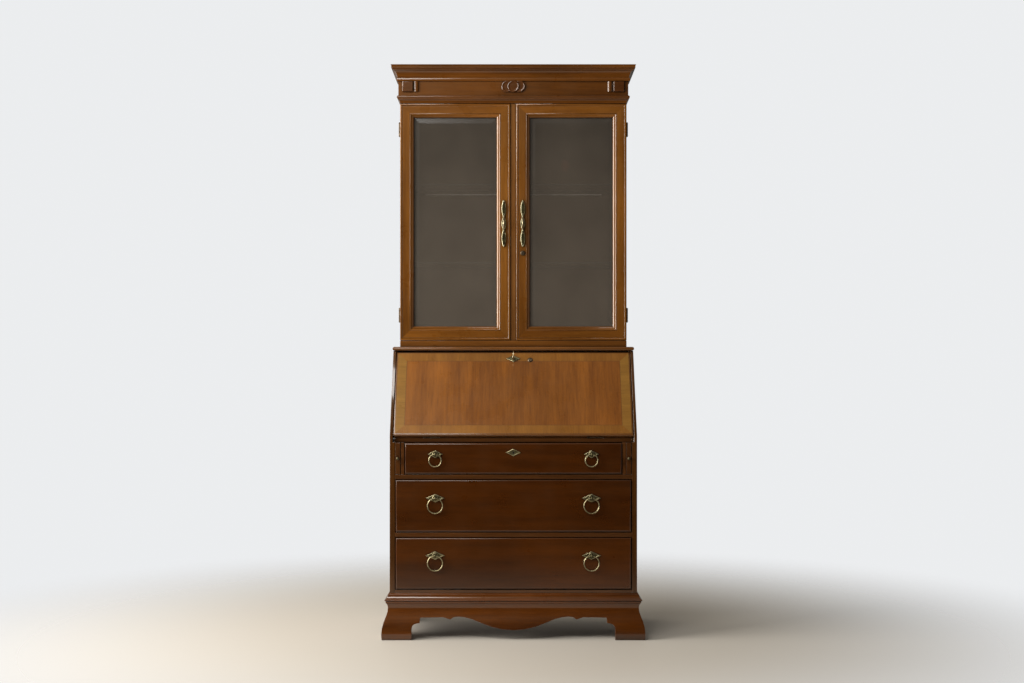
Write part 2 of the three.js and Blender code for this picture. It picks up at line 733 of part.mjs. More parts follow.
const friezeFace = doorFace - 6;
const carvingBottom = z0 + 42;
const carvingHeight = 38;
const carvingMiddle = carvingBottom + carvingHeight / 2;
const discSpacing = 23;
const carvings = [
  barAlongY(21.5, -discSpacing, friezeFace - 4, friezeFace + 1, carvingMiddle + 1, 28),
  barAlongY(21.5, discSpacing, friezeFace - 4, friezeFace + 1, carvingMiddle + 1, 28),
  barAlongY(22, 0, friezeFace - 6, friezeFace + 1, carvingMiddle + 1, 28),
];
for (const [, sign] of bothSides) {
  const inner = sign * (hutchHalf - 50);
  const outer = sign * (hutchHalf - 9);
  const block = box(
    Math.min(inner, outer),
    Math.max(inner, outer),
    friezeFace - 6,
    friezeFace + 1,
    carvingBottom,
    carvingBottom + carvingHeight,
  );
  const section = new THREE.Shape().absellipse(0, 0, 9.5, 6, Math.PI, 2 * Math.PI);
  section.lineTo(9.5, 1).lineTo(-9.5, 1);
  const reed = alongZ(section, carvingBottom, carvingBottom + carvingHeight);
  carvings.push(block, reed.translate(inner - sign * 12.5, friezeFace, 0));
}
addPiece("cornice", join(corniceBlock, ...carvings), caseWood);

// ---- Doors: mitred frames with an outer bead and an inner moulding, a bevelled pane, pull and hinges ----
const doorWidth = hutchHalf - doorSpacing / 2;
const doorMiddleZ = (doorBottom + doorTop) / 2;
const outerSteps = [
  [doorFace, -3],
  [doorFace + 3, 0],
  [doorBack, 0],
];
const openingSteps = [
  [doorFace - 1, innerMoulding],
  [doorFace + 2, innerMoulding - 1],
  [doorFace + 4, innerMoulding - 8],
  [doorFace + 9, 2],
  [doorFace + 10, 0],
  [doorFace + 12, 0],
  [doorFace + 12, glassRebate],
  [doorBack + 1, glassRebate],
];
const openingHalfWidth = doorWidth / 2 - stileWidth;
const openingHalfHeight = doorHeight / 2 - stileWidth;
const pullX = doorSpacing / 2 + stileWidth / 2 - 1;
const doorLockZ = doorBottom + 329;
for (const [side, sign] of bothSides) {
  const x = sign * (doorSpacing / 2 + doorWidth / 2);
  const frame = cut(
    mouldedPanel(outerSteps, x, doorWidth / 2, doorMiddleZ, doorHeight / 2),
    mouldedPanel(openingSteps, x, openingHalfWidth, doorMiddleZ, openingHalfHeight),
  );
  const lockHole = barAlongY(lockBarrelRadius + gap, pullX, doorFace - 1, doorFace + lockBarrelLength + 1, doorLockZ);
  addPiece(`${side}_door_frame`, sign > 0 ? cut(frame, lockHole) : frame, caseWood);

  const paneHalfWidth = openingHalfWidth + glassRebate - 0.6;
  const paneHalfHeight = openingHalfHeight + glassRebate - 0.6;
  const paneFront = doorFace + 12 + gap;
  const paneSteps = [
    [paneFront, -paneBevel - glassRebate],
    [paneFront + 3, 0],
    [paneFront + paneThick, 0],
  ];
  addPiece(`${side}_glass`, mouldedPanel(paneSteps, x, paneHalfWidth, doorMiddleZ, paneHalfHeight), clearGlass);

  // A bowed grip between two round feet.
  const pullBottom = doorBottom + 352;
  const pullTop = pullBottom + 177;
  const pullMiddle = (pullBottom + pullTop) / 2;
  const footY = doorFace - gap;
  const grip = new THREE.CatmullRomCurve3([
    new THREE.Vector3(sign * pullX, footY - 4, pullBottom + 8.5),
    new THREE.Vector3(sign * pullX, footY - 14, pullBottom + 35),
    new THREE.Vector3(sign * pullX, footY - 24, pullMiddle),
    new THREE.Vector3(sign * pullX, footY - 14, pullTop - 35),
    new THREE.Vector3(sign * pullX, footY - 4, pullTop - 8.5),
  ]);
  const section = new THREE.Shape().absarc(0, 0, 3.5, 0, 2 * Math.PI);
  const bow = new THREE.ExtrudeGeometry(section, { steps: 18, extrudePath: grip, curveSegments: 5, bevelEnabled: false });
  addPiece(
    `${side}_door_pull`,
    join(
      bow,
      barAlongY(8.5, sign * pullX, footY - 8, footY, pullBottom + 8.5),
      barAlongY(8.5, sign * pullX, footY - 8, footY, pullTop - 8.5),
    ),
    brass,
  );

  const hingeX = sign * (hutchHalf + doorKnuckleRadius + 0.4);
  const hingeAxisY = (doorBack + carcassFront) / 2;
  for (const [place, z] of [
    ["lower", doorBottom + hingeInset],
    ["upper", doorTop - hingeInset],
  ]) {
    const knuckle = new THREE.CylinderGeometry(doorKnuckleRadius, doorKnuckleRadius, hingeHeight, 12);
    const leafEnds = [sign * (hutchHalf - 16), hingeX];
    const leaf = box(
      Math.min(...leafEnds),
      Math.max(...leafEnds),
      hingeAxisY - leafThick / 2,
      hingeAxisY + leafThick / 2,
      z - hingeHeight / 2,
      z + hingeHeight / 2,
    );
    const barrel = knuckle.rotateX(Math.PI / 2).translate(hingeX, hingeAxisY, z);
    addPiece(`${side}_door_hinge_${place}`, join(barrel, leaf), brass);
  }
}
addPiece("door_lock", lockGeometry().rotateX(Math.PI / 2).translate(pullX, doorFace, doorLockZ), brass);

export default desk;
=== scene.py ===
# A slant-front secretary desk with a glazed hutch, in figured walnut-coloured wood with brass fittings.
# Every section is one piece or one group of like pieces, in the order the desk is put together.
import json
import math
import bpy
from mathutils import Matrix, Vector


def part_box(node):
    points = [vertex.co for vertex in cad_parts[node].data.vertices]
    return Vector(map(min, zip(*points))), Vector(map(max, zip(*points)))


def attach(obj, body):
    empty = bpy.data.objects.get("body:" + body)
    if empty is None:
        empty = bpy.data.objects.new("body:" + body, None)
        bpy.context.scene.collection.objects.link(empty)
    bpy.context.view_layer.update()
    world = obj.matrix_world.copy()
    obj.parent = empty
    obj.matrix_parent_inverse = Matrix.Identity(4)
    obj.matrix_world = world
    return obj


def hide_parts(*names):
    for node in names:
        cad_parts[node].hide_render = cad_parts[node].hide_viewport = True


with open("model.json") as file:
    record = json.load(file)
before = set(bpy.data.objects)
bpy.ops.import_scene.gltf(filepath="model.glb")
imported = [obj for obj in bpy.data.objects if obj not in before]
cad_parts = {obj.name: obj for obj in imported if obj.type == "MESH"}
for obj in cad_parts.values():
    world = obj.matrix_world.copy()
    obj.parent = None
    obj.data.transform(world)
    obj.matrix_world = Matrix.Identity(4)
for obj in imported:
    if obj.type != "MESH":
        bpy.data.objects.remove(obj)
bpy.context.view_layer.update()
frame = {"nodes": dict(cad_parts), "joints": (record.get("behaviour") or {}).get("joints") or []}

# ---- Camera, floor and light ----
# The camera stands level in front of the desk at sitting eye height, far enough back to see it whole.
# The floor is one pale disc, and soft light comes from a large window on the left and a little from above.
MM = 0.001


def clear_selection():
    bpy.ops.object.select_all(action="DESELECT")


clear_selection()
bpy.ops.object.camera_add(location=(-0.005, -5.406, 0.963), rotation=(math.pi / 2, 0, 0))
camera = bpy.context.object
camera.data.lens = 50
camera.data.sensor_width = 36
camera.data.shift_y = 0.0327
bpy.context.scene.camera = camera
bpy.context.scene.view_settings.view_transform = "Standard"


def node_maker(tree):
    """A short call that adds a node and hands back its first or named output, and one that fills a socket."""

    def put(socket, value):
        if isinstance(value, bpy.types.NodeSocket):
            tree.links.new(value, socket)
        else:
            socket.default_value = value

    def add(kind, give=None, fill=(), **settings):
        node = tree.nodes.new("ShaderNode" + kind)
        for key in ("operation", "data_type", "samples", "interpolation_type"):
            if key in settings:
                setattr(node, key, settings.pop(key))
        for socket, value in zip(node.inputs, fill):
            put(socket, value)
        for key, value in settings.items():
            put(next(s for s in node.inputs if s.enabled and s.name == key.replace("_", " ")), value)
        return next(s for s in node.outputs if s.enabled and give in (None, s.name))

    return add, put


def new_material(name):
    """A material with its shader's sockets and the calls that add to it."""
    material = bpy.data.materials.new(name)
    material.use_nodes = True
    add, put = node_maker(material.node_tree)
    return material, material.node_tree.nodes["Principled BSDF"].inputs, add, put


bpy.ops.mesh.primitive_circle_add(vertices=96, radius=14, fill_type="NGON", location=(0, 0, -0.0005))
floor = bpy.context.object
floor.name = "studio_floor"
floor_paint, shader, add, put = new_material("pale_studio_floor")
put(shader["Base Color"], (0.5, 0.455, 0.39, 1))
put(shader["Roughness"], 0.6)
# The floor fades into the backdrop away from the desk.
floor_nodes = floor_paint.node_tree.nodes
floor_way = add("VectorMath", operation="LENGTH", Vector=add("TexCoord", "Object"))
floor_fade = add("MapRange", interpolation_type="SMOOTHSTEP", Value=floor_way, From_Min=0.7, From_Max=2.6)
floor_blend = add("MixShader", fill=(floor_fade, floor_nodes["Principled BSDF"].outputs["BSDF"],
                                     add("BsdfTransparent")))
put(floor_nodes["Material Output"].inputs["Surface"], floor_blend)
floor.data.materials.append(floor_paint)

# Light comes in from the left, from above and off the wall behind; the room in front of the desk is dim.
world = bpy.data.worlds.new("soft_room")
bpy.context.scene.world = world
world.use_nodes = True
add, put = node_maker(world.node_tree)
room_light = 1.0
for axis, far, near, dim, bright in (("X", 0.5, -1.0, 0.05, 1.1), ("Y", -0.9, 0.3, 0.07, 1.0),
                                     ("Z", -0.1, 0.5, 0.35, 1.1)):
    way = add("SeparateXYZ", axis, Vector=add("TexCoord", "Generated"))
    share = add("MapRange", Value=way, From_Min=far, From_Max=near, To_Min=dim, To_Max=bright)
    room_light = add("Math", operation="MULTIPLY", fill=(room_light, share))
seen = add("LightPath", "Is Camera Ray")
backdrop = world.node_tree.nodes["Background"].inputs
put(backdrop["Strength"], add("Mix", data_type="FLOAT", Factor=seen, A=room_light, B=0.86))
put(backdrop["Color"], add("Mix", data_type="RGBA", Factor=seen, A=(1.0, 0.95, 0.86, 1), B=(0.97, 0.985, 1.0, 1)))


def soft_light(name, place, aim, width, height, power, colour):
    bpy.ops.object.light_add(type="AREA", location=place)
    lamp = bpy.context.object
    lamp.name = name
    lamp.data.shape = "RECTANGLE"
    lamp.data.size = width
    lamp.data.size_y = height
    lamp.data.energy = power
    lamp.data.color = colour
    toward = lamp.location.copy()
    toward.x, toward.y, toward.z = (b - a for a, b in zip(place, aim))
    lamp.rotation_euler = toward.to_track_quat("-Z", "Y").to_euler()


soft_light("left_window", (-3.1, -1.15, 1.9), (0, -0.2, 1.3), 2.4, 2.4, 215, (1, 0.985, 0.96))
soft_light("high_front_window", (-1.5, -3.4, 3.9), (0, 0, 1.6), 2.2, 1.4, 95, (1, 0.99, 0.97))
soft_light("right_bounce", (3.6, -2.4, 1.6), (0, 0, 1.1), 2.0, 2.4, 10, (1, 0.97, 0.93))

# ---- Bracket base: ogee feet and a scalloped apron ----
# Solid walnut, shaped to a swelling ogee, mitred at the corners and glued up as three walls under the case.
# The edges are rubbed round by sandpaper and by years of brooms.


def take(piece):
    """Takes one piece in hand."""
    clear_selection()
    piece.select_set(True)
    bpy.context.view_layer.objects.active = piece


def settle():
    """Puts the place, turn and size of the piece in hand into its mesh."""
    bpy.ops.object.transform_apply(location=True, rotation=True, scale=True)
    return bpy.context.object


def rename(piece, name):
    piece.name = name
    piece.data.name = name
    return piece


def work(piece, kind, **settings):
    """Adds a modifier and applies it."""
    take(piece)
    modifier = piece.modifiers.new("work", kind)
    for key, value in settings.items():
        setattr(modifier, key, value)
    bpy.ops.object.modifier_apply(modifier=modifier.name)


def shade(angle):
    """Shades the piece in hand smoothly where its faces meet at less than this many degrees."""
    bpy.ops.object.shade_smooth_by_angle(angle=math.radians(angle))


def settle_shading(piece, smooth=32):
    """Shades the curves smoothly and keeps the broad faces flat."""
    take(piece)
    shade(smooth)
    work(piece, "WEIGHTED_NORMAL", keep_sharp=True)


def round_edges(piece, edge, segments=2, smooth=32, limit=34):
    """Rubs the sharp edges round, by a width in mm, and lets the light run smoothly over the curves."""
    work(piece, "BEVEL", width=edge * MM, segments=segments, limit_method="ANGLE", angle_limit=math.radians(limit),
         use_clamp_overlap=True)
    settle_shading(piece, smooth)


def shaped_copy(node, name, edge, segments=2, smooth=32):
    """A piece with the shape of a part of the frame, its facets merged and its edges rubbed round."""
    take(frame["nodes"][node])
    bpy.ops.object.duplicate()
    piece = bpy.context.view_layer.objects.active
    piece.parent = None
    for key in [k for k in piece.keys() if k.startswith("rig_")]:
        del piece[key]
    rename(piece, name)
    piece.data.materials.clear()
    bpy.ops.object.mode_set(mode="EDIT")
    bpy.ops.mesh.select_all(action="SELECT")
    bpy.ops.mesh.remove_doubles(threshold=0.00002)
    bpy.ops.mesh.dissolve_limited(angle_limit=math.radians(0.6))
    bpy.ops.object.mode_set(mode="OBJECT")
    round_edges(piece, edge, segments, smooth)
    return piece


def finish_piece(piece, body, material, slot, *nodes):
    """Gives a piece its finish, the body that it moves with and the parts of the frame that it stands for."""
    if material is not None:
        piece.data.materials.clear()
        piece.data.materials.append(material)
    if nodes:
        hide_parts(*nodes)
    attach(piece, body)
    return piece


GRAIN_STRETCH = 0.07
GRAIN_TURNS = {"x": (0, 0, 0), "y": (0, 0, -math.pi / 2), "z": (0, math.pi / 2, 0)}


def two_tones(add, amount, dark, light, low, high):
    """A colour that runs from dark to light as the amount goes from low to high."""
    colour = add("ValToRGB", Fac=amount)
    ends = colour.node.color_ramp.elements
    ends[0].position, ends[0].color = low, (*dark, 1)
    ends[1].position, ends[1].color = high, (*light, 1)
    return colour


def wood(name, dark, light, grain="x", tilt=0.0, figure=1.0, gloss=0.36, seed=0.0, edge_wear_and_highlight=0.5):
    """Stained wood under old varnish: broad figure, growth lines, open pores, tone drift, rubbed edges that are
    partly painted highlight, and painted shade in the corners.
    """
    material, shader, add, put = new_material(name)

    def scaled(colour, amount):
        return add("VectorMath", operation="SCALE", Vector=colour, Scale=amount)

    level = add("Mapping", Vector=add("TexCoord", "Object"), Location=(seed, seed * 0.7, seed * 1.3),
                Rotation=(tilt, 0, 0))
    turn = add("Mapping", Vector=level, Rotation=GRAIN_TURNS[grain])
    along = add("Mapping", Vector=turn, Scale=(GRAIN_STRETCH, 1, 1))

    # Broad soft bands of light and dark along the board, with narrow streaks between them.
    broad = add("TexNoise", Vector=along, Scale=11.0 * figure, Detail=4.0, Roughness=0.58, Distortion=0.5)
    streaks = add("TexNoise", Vector=along, Scale=75.0 * figure, Detail=4.0, Roughness=0.6)
    banded = add("Mix", data_type="FLOAT", Factor=0.36, A=broad, B=streaks)
    colour = two_tones(add, banded, dark, light, 0.3, 0.7)

    # The stain took unevenly over the width of a hand.
    drift = add("TexNoise", Vector=level, Scale=3.2, Detail=2.0)
    colour = scaled(colour, add("MapRange", Value=drift, From_Min=0.3, From_Max=0.7, To_Min=0.86, To_Max=1.14))

    # Fine open pores, long with the grain and a third of a millimetre wide.
    pores = add("TexNoise", Vector=add("Mapping", Vector=turn, Scale=(0.05, 1, 1)), Scale=620.0, Detail=2.0,
                Roughness=0.5)
    pore_mask = add("MapRange", Value=pores, From_Min=0.56, From_Max=0.7, To_Min=0.0, To_Max=1.0)
    colour = scaled(colour, add("MapRange", Value=pore_mask, To_Min=1.0, To_Max=0.78))

    # Edges are paler in patches: partly rubbed wear from hands and cloths, partly painted highlight along the rounded
    # arrises.
    soft_normal = add("Bevel", samples=4, Radius=0.0022)
    turned = add("VectorMath", operation="DOT_PRODUCT", fill=(soft_normal, add("NewGeometry", "Normal")))
    wear_and_highlight_mask = add("MapRange", Value=turned, From_Min=0.995, From_Max=0.86, To_Min=0.0, To_Max=edge_wear_and_highlight)
    patch = add("TexNoise", Vector=level, Scale=26.0, Detail=3.0)
    rubbed = add("Math", operation="MULTIPLY", fill=(wear_and_highlight_mask, patch))
    pale = tuple(min(1.0, 0.05 + 1.7 * c) for c in light)
    colour = add("Mix", data_type="RGBA", Factor=rubbed, A=colour, B=(*pale, 1))

    # Painted shade: ambient occlusion darkens the colour in the quirks and inner corners, standing in for the shade
    # that falls there.
    corner = add("AmbientOcclusion", "AO", samples=4, Distance=0.012)
    put(shader["Base Color"], scaled(colour, add("MapRange", Value=corner, From_Min=0.4, From_Max=0.92, To_Min=0.12,
                                                 To_Max=1.0)))

    # The varnish is duller where it has been handled, and sinks a little over the pores.
    dull = add("TexNoise", Vector=level, Scale=14.0, Detail=4.0)
    put(shader["Roughness"], add("MapRange", Value=dull, From_Min=0.3, From_Max=0.7, To_Min=gloss - 0.07,
                                 To_Max=gloss + 0.1))
    hollow = add("Math", operation="MULTIPLY_ADD", fill=(pore_mask, -0.6, broad))
    put(shader["Normal"], add("Bump", Strength=0.09, Distance=0.0004, Height=hollow))
    put(shader["Specular IOR Level"], 0.25)
    put(shader["Specular Tint"], (1.0, 0.8, 0.5, 1))
    put(shader["Coat Weight"], 1.0)
    put(shader["Coat IOR"], 1.56)
    put(shader["Coat Roughness"], 0.1)
    return material


base_wood = wood("walnut_base", (0.0341, 0.0076, 0.0003), (0.1194, 0.0301, 0.0015), "x", seed=2.1, gloss=0.34)
bracket_base = shaped_copy("bracket_base", "bracket_base_carved", 1.4, 3, smooth=40)
finish_piece(bracket_base, "case", base_wood, "case_wood", "bracket_base")

# Glue blocks behind the mitres: rough pine rubbed in with hot glue, one in each front corner and one behind
# each rear foot, which take most of the desk's weight.
pine = wood("rough_pine", (0.32, 0.19, 0.085), (0.55, 0.38, 0.2), "z", seed=5.0, gloss=0.62, edge_wear_and_highlight=0.1)
BLOCK_SIZE = 38 * MM
BLOCK_HEIGHT = 105 * MM
base_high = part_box("bracket_base")[1]
case_low, case_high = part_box("left_side")
for place, y in (("front", case_low.y + 12 * MM + BLOCK_SIZE / 2), ("back", case_high.y - 6 * MM - BLOCK_SIZE / 2)):
    for side, sign in (("left", -1), ("right", 1)):
        clear_selection()
        x = sign * (-case_low.x - 11 * MM - BLOCK_SIZE / 2)
        bpy.ops.mesh.primitive_cube_add(size=1, location=(x, y, base_high.z - 1 * MM - BLOCK_HEIGHT / 2),
                                        scale=(BLOCK_SIZE, BLOCK_SIZE, BLOCK_HEIGHT))
        block = settle()
        block.name = f"glue_block_{place}_{side}"
        round_edges(block, 5, 3)
        finish_piece(block, "case", pine, "inner_wood")

# ---- Base moulding ----
# A walnut strip with a rounded tip and a cove, mitred round the front and sides of the case.
# It covers the joint between the case and its bracket base and is pinned through the cove.
base_moulding = shaped_copy("base_moulding", "base_moulding_strip", 0.6, 2, smooth=40)
finish_piece(base_moulding, "case", base_wood, "case_wood", "base_moulding")

# ---- Case sides and boards ----
# Solid boards glued edge to edge, the grain upright in the sides and across in the rails and shelves.
# The sides are rebated down the slant for the fall front, and every arris is eased with a plane.
case_upright = wood("walnut_case_upright", (0.0288, 0.0085, 0.0008), (0.098, 0.0313, 0.0034), "z", seed=1.7)
for side in ("left", "right"):
    plate = shaped_copy(f"{side}_side", f"{side}_case_side", 1.2, 3)
    finish_piece(plate, "case", case_upright, "case_wood", f"{side}_side")
rail_wood = wood("walnut_rails", (0.0315, 0.0098, 0.0019), (0.103, 0.034, 0.007), "x", seed=3.3)
for node, name in (
    ("bottom_board", "case_bottom_board"),
    ("lower_drawer_rail", "lower_drawer_rail_board"),
    ("upper_drawer_rail", "upper_drawer_rail_board"),
    ("loper_frame", "loper_dividers"),
):
    board = shaped_copy(node, name, 0.7)
    finish_piece(board, "case", rail_wood, "case_wood", node)


def paint(piece, finishes, choose):
    """Gives a piece several finishes, and each face the one that choose says."""
    for finish in finishes:
        piece.data.materials.append(finish)
    for face in piece.data.polygons:
        face.material_index = choose(face)


writing_wood = wood("walnut_writing_board", (0.048, 0.0217, 0.0064), (0.1248, 0.0645, 0.0222), "x", seed=6.2,
                    gloss=0.3)
writing_board = shaped_copy("writing_board", "writing_board_leaf", 0.5)
# Faces that do not look up take the darker rail finish: the edge is of the rails' wood, and its darkness partly
# stands in as painted shade for the shadow on the recessed front edge.
paint(writing_board, (writing_wood, rail_wood), lambda face: 1 if face.normal.z < 0.5 else 0)
finish_piece(writing_board, "case", None, "case_wood", "writing_board")

# The back is a thin board of plainer wood, left paler inside and nailed into its rebate all round.
back_wood = wood("plain_back_board", (0.07, 0.032, 0.013), (0.17, 0.085, 0.036), "z", figure=0.7, seed=8.0,
                 gloss=0.5, edge_wear_and_highlight=0.1)
case_back = shaped_copy("back_panel", "case_back_board", 0.5)
finish_piece(case_back, "case", back_wood, "inner_wood", "back_panel")

# ---- Drawers ----
# Each front is a thick walnut board with a round-over run round its face, standing a little proud of the rails.
# Behind it is a box of paler wood, dovetailed at the corners, with its bottom slid in from the back.
# Painted shade in part: the fronts are darker than the doors above, standing in for the light falling off low on the
# desk.
drawer_wood = wood("walnut_drawer_fronts", (0.0235, 0.0053, 0.0004), (0.0774, 0.0191, 0.0013), "x", figure=0.55,
                   seed=0.9, gloss=0.33, edge_wear_and_highlight=0.8)
box_wood = wood("oak_drawer_boxes", (0.2, 0.115, 0.05), (0.4, 0.26, 0.13), "y", seed=4.4, gloss=0.55, edge_wear_and_highlight=0.15)


def front_face(piece, y):
    """Selects the face that looks to the front or back at depth y, in edit mode."""
    bpy.ops.object.mode_set(mode="EDIT")
    bpy.ops.mesh.select_mode(type="FACE")
    bpy.ops.mesh.select_all(action="DESELECT")
    bpy.ops.object.mode_set(mode="OBJECT")
    for face in piece.data.polygons:
        face.select = abs(face.center.y - y) < 0.00005 and abs(face.normal.y) > 0.99
    bpy.ops.object.mode_set(mode="EDIT")


def panel_block(name, low, high):
    """A plain block between two corners, ready to be moulded."""
    clear_selection()
    middle = [(a + b) / 2 for a, b in zip(low, high)]
    bpy.ops.mesh.primitive_cube_add(size=1, location=middle, scale=[b - a for a, b in zip(low, high)])
    return rename(settle(), name)


def run_moulding(steps):
    """Works the selected face inwards: each step is how far in from the last line, and how far back, in mm."""
    for inward, back in steps:
        bpy.ops.mesh.inset(thickness=inward * MM, use_even_offset=True)
        if back:
            bpy.ops.transform.translate(value=(0, back * MM, 0))


def moulded_panel(name, low, high, proud, steps):
    """A block whose front, less what the moulding stands proud in mm, is worked with a moulding."""
    piece = panel_block(name, (low[0], low[1] + proud * MM, low[2]), high)
    front_face(piece, low[1] + proud * MM)
    run_moulding(steps)
    bpy.ops.object.mode_set(mode="OBJECT")
    return piece


def quarter_round(radius, count=7):
    """Steps that take a face from the edge of a round-over to its top."""
    angles = [math.pi / 2 * i / count for i in range(count + 1)]
    points = [(radius * (1 - math.cos(a)), radius * math.sin(a)) for a in angles]
    return [(b[0] - a[0], a[1] - b[1]) for a, b in zip(points, points[1:])]


ROUND_OVER = 6
for row in ("top", "middle", "bottom"):
    low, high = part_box(f"{row}_drawer_front")
    front = moulded_panel(f"{row}_drawer_face", low, high, ROUND_OVER, quarter_round(ROUND_OVER))
    settle_shading(front)
    finish_piece(front, f"{row}_drawer", drawer_wood, "drawer_wood", f"{row}_drawer_front")
    tray = shaped_copy(f"{row}_drawer_box", f"{row}_drawer_tray", 1.0)
    finish_piece(tray, f"{row}_drawer", box_wood, "inner_wood", f"{row}_drawer_box")

# ---- Brass ring pulls ----
# Each has a cast lozenge plate with a raised border, a domed boss, and a heavy ring that hangs from an eye.
# The brass has toned to an olive brown in its hollows and stays bright where fingers touch it.


def old_brass(name, bright, toned, roughness=0.32):
    """Aged brass: a mottled brown tone, brighter on rubbed edges, with small casting marks."""
    material, shader, add, put = new_material(name)
    put(shader["Metallic"], 1.0)
    where = add("TexCoord", "Object")
    cloud = add("TexNoise", Vector=where, Scale=90.0, Detail=5.0, Roughness=0.6)
    colour = two_tones(add, cloud, toned, bright, 0.36, 0.62)
    hollow = add("AmbientOcclusion", "AO", samples=4, Distance=0.006)
    hollow_tone = add("MapRange", Value=hollow, From_Min=0.25, From_Max=0.95, To_Min=0.35, To_Max=1.0)
    put(shader["Base Color"], add("VectorMath", operation="SCALE", Vector=colour, Scale=hollow_tone))
    put(shader["Roughness"], add("MapRange", Value=cloud, From_Min=0.3, From_Max=0.7, To_Min=roughness + 0.12,
                                 To_Max=roughness - 0.08))
    cast = add("TexNoise", Vector=where, Scale=900.0, Detail=2.0)
    put(shader["Normal"], add("Bump", Strength=0.12, Distance=0.0002, Height=cast))
    return material


brass = old_brass("aged_brass", (0.47, 0.41, 0.24), (0.2, 0.165, 0.085), roughness=0.4)
dark_field = old_brass("browned_field", (0.2, 0.17, 0.085), (0.08, 0.068, 0.034), roughness=0.5)


def join_pieces(name, parts):
    """Joins the parts of one cast or turned piece into one mesh."""
    clear_selection()
    for part in parts:
        part.select_set(True)
    bpy.context.view_layer.objects.active = parts[0]
    bpy.ops.object.join()
    return rename(settle(), name)


AXES = {"x": (0, math.pi / 2, 0), "y": (math.pi / 2, 0, 0), "z": (0, 0, 0)}


def rod(radius, length, place, vertices=20, axis="y"):
    """A round rod about a point, with its radius and length in mm."""
    clear_selection()
    bpy.ops.mesh.primitive_cylinder_add(vertices=vertices, radius=radius * MM, depth=length * MM, location=place,
                                        rotation=AXES[axis])
    return settle()


def wire_ring(radius, wire, place, around, along, axis="y"):
    """A ring of round wire about a point: ring and wire radius in mm, and how many faces each way."""
    clear_selection()
    bpy.ops.mesh.primitive_torus_add(location=place, rotation=AXES[axis], major_segments=around, minor_segments=along,
                                     major_radius=radius * MM, minor_radius=wire * MM)
    return bpy.context.object


def draw_out(centre, steps):
    """Draws the selected face out: each step is how far forward in mm, and its size against the last."""
    for forward, size in steps:
        bpy.ops.mesh.extrude_region_move(TRANSFORM_OT_translate={"value": (0, -forward * MM, 0)})
        bpy.ops.transform.resize(value=(size, 1, size), center_override=centre)
    bpy.ops.object.mode_set(mode="OBJECT")


def lozenge_plate(width, height, thick, x, y, z):
    """A four-pointed plate with a raised border round a sunk field, its back at depth y."""
    clear_selection()
    bpy.ops.mesh.primitive_cylinder_add(vertices=4, radius=0.5, depth=1, rotation=AXES["y"])
    plate = settle()
    bpy.ops.object.mode_set(mode="EDIT")
    bpy.ops.mesh.select_all(action="DESELECT")
    bpy.ops.object.mode_set(mode="OBJECT")
    for edge in plate.data.edges:
        a, b = (plate.data.vertices[i].co for i in edge.vertices)
        edge.select = abs(a.y - b.y) < 0.01
    bpy.ops.object.mode_set(mode="EDIT")
    bpy.ops.mesh.subdivide(number_cuts=4)
    bpy.ops.object.mode_set(mode="OBJECT")
    # The sides are drawn in a little between the points.
    for vertex in plate.data.vertices:
        share = abs(abs(vertex.co.x) - abs(vertex.co.z))
        vertex.co.x *= 0.97 + 0.03 * share
        vertex.co.z *= 0.97 + 0.03 * share
    plate.scale = (width * MM, thick * MM, height * MM)
    plate.location = (x, y - thick * MM / 2, z)
    settle()
    front_face(plate, y - thick * MM)
    # A chamfered rim, a flat border, then the sunk field, which has toned darker.
    draw_out((x, y, z), ((0.35, 0.955), (0.25, 0.9), (-0.5, 0.96), (-0.7, 0.92), (-0.1, 0.97)))
    field_y = y - (thick - 0.2) * MM
    paint(plate, (brass, dark_field), lambda face: 1 if face.normal.y < -0.9 and face.center.y > field_y else 0)
    shade(28)
    return plate


def dome(radius, proud, x, y, z):
    """A cast boss: half a flattened ball with a collar, standing forward from depth y."""
    clear_selection()
    bpy.ops.mesh.primitive_uv_sphere_add(segments=24, ring_count=12, radius=radius * MM, location=(x, y, z),
                                         rotation=AXES["y"], scale=(1, 1, proud / radius))
    ball = settle()
    boss = join_pieces("boss", [ball, wire_ring(radius * 0.98, 0.9, (x, y - 0.6 * MM, z), 28, 8)])
    bpy.ops.object.shade_smooth()
    return boss


PULL_WIRE = 5
for row in ("top", "middle", "bottom"):
    for side in ("left", "right"):
        pull = f"{row}_{side}_pull"
        low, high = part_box(pull + "_plate")
        x = (low.x + high.x) / 2
        plate = lozenge_plate((high.x - low.x) / MM, (high.z - low.z) / MM, 2.4, x, high.y, (low.z + high.z) / 2)
        # The eye: two cheeks with the ring between them, under a domed cap.
        ring_low, ring_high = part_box(pull + "_ring")
        eye_y = (ring_low.y + ring_high.y) / 2
        eye_z = ring_high.z - PULL_WIRE / 2 * MM
        eye = wire_ring(5.2, 1.75, (x, eye_y, eye_z), 24, 10, "x")
        eye.scale = (0.9, 1, 1)
        collar = wire_ring(9.2, 1.35, (x, high.y - 3.1 * MM, eye_z), 36, 10)
        stem = rod(4.2, 3.4, (x, eye_y + 7.6 * MM, eye_z))
        cap = dome(3.9, 2.6, x, eye_y - 5.4 * MM, eye_z)
        cap.data.materials.append(dark_field)
        for part in (eye, collar, stem):
            part.data.materials.append(brass)
        plate = join_pieces(pull + "_cast_plate", [plate, eye, collar, stem, cap])
        finish_piece(plate, f"{row}_drawer", None, "brass", pull + "_plate")

        # The ring is thicker at the bottom, where the fingers take it.
        radius = (ring_high.x - ring_low.x) / 2 - PULL_WIRE / 2 * MM
        wire_ring(radius / MM, PULL_WIRE / 2 * 0.82, (x, eye_y, eye_z - radius), 64, 16)
        ring = settle()
        for vertex in ring.data.vertices:
            lower = max(0.0, (eye_z - vertex.co.z) / (2 * radius))
            vertex.co.y = eye_y + (vertex.co.y - eye_y) * (1 + 0.2 * lower)
        ring.name = pull + "_brass_ring"
        bpy.ops.object.shade_smooth()
        finish_piece(ring, pull + "_ring", brass, "brass", pull + "_ring")
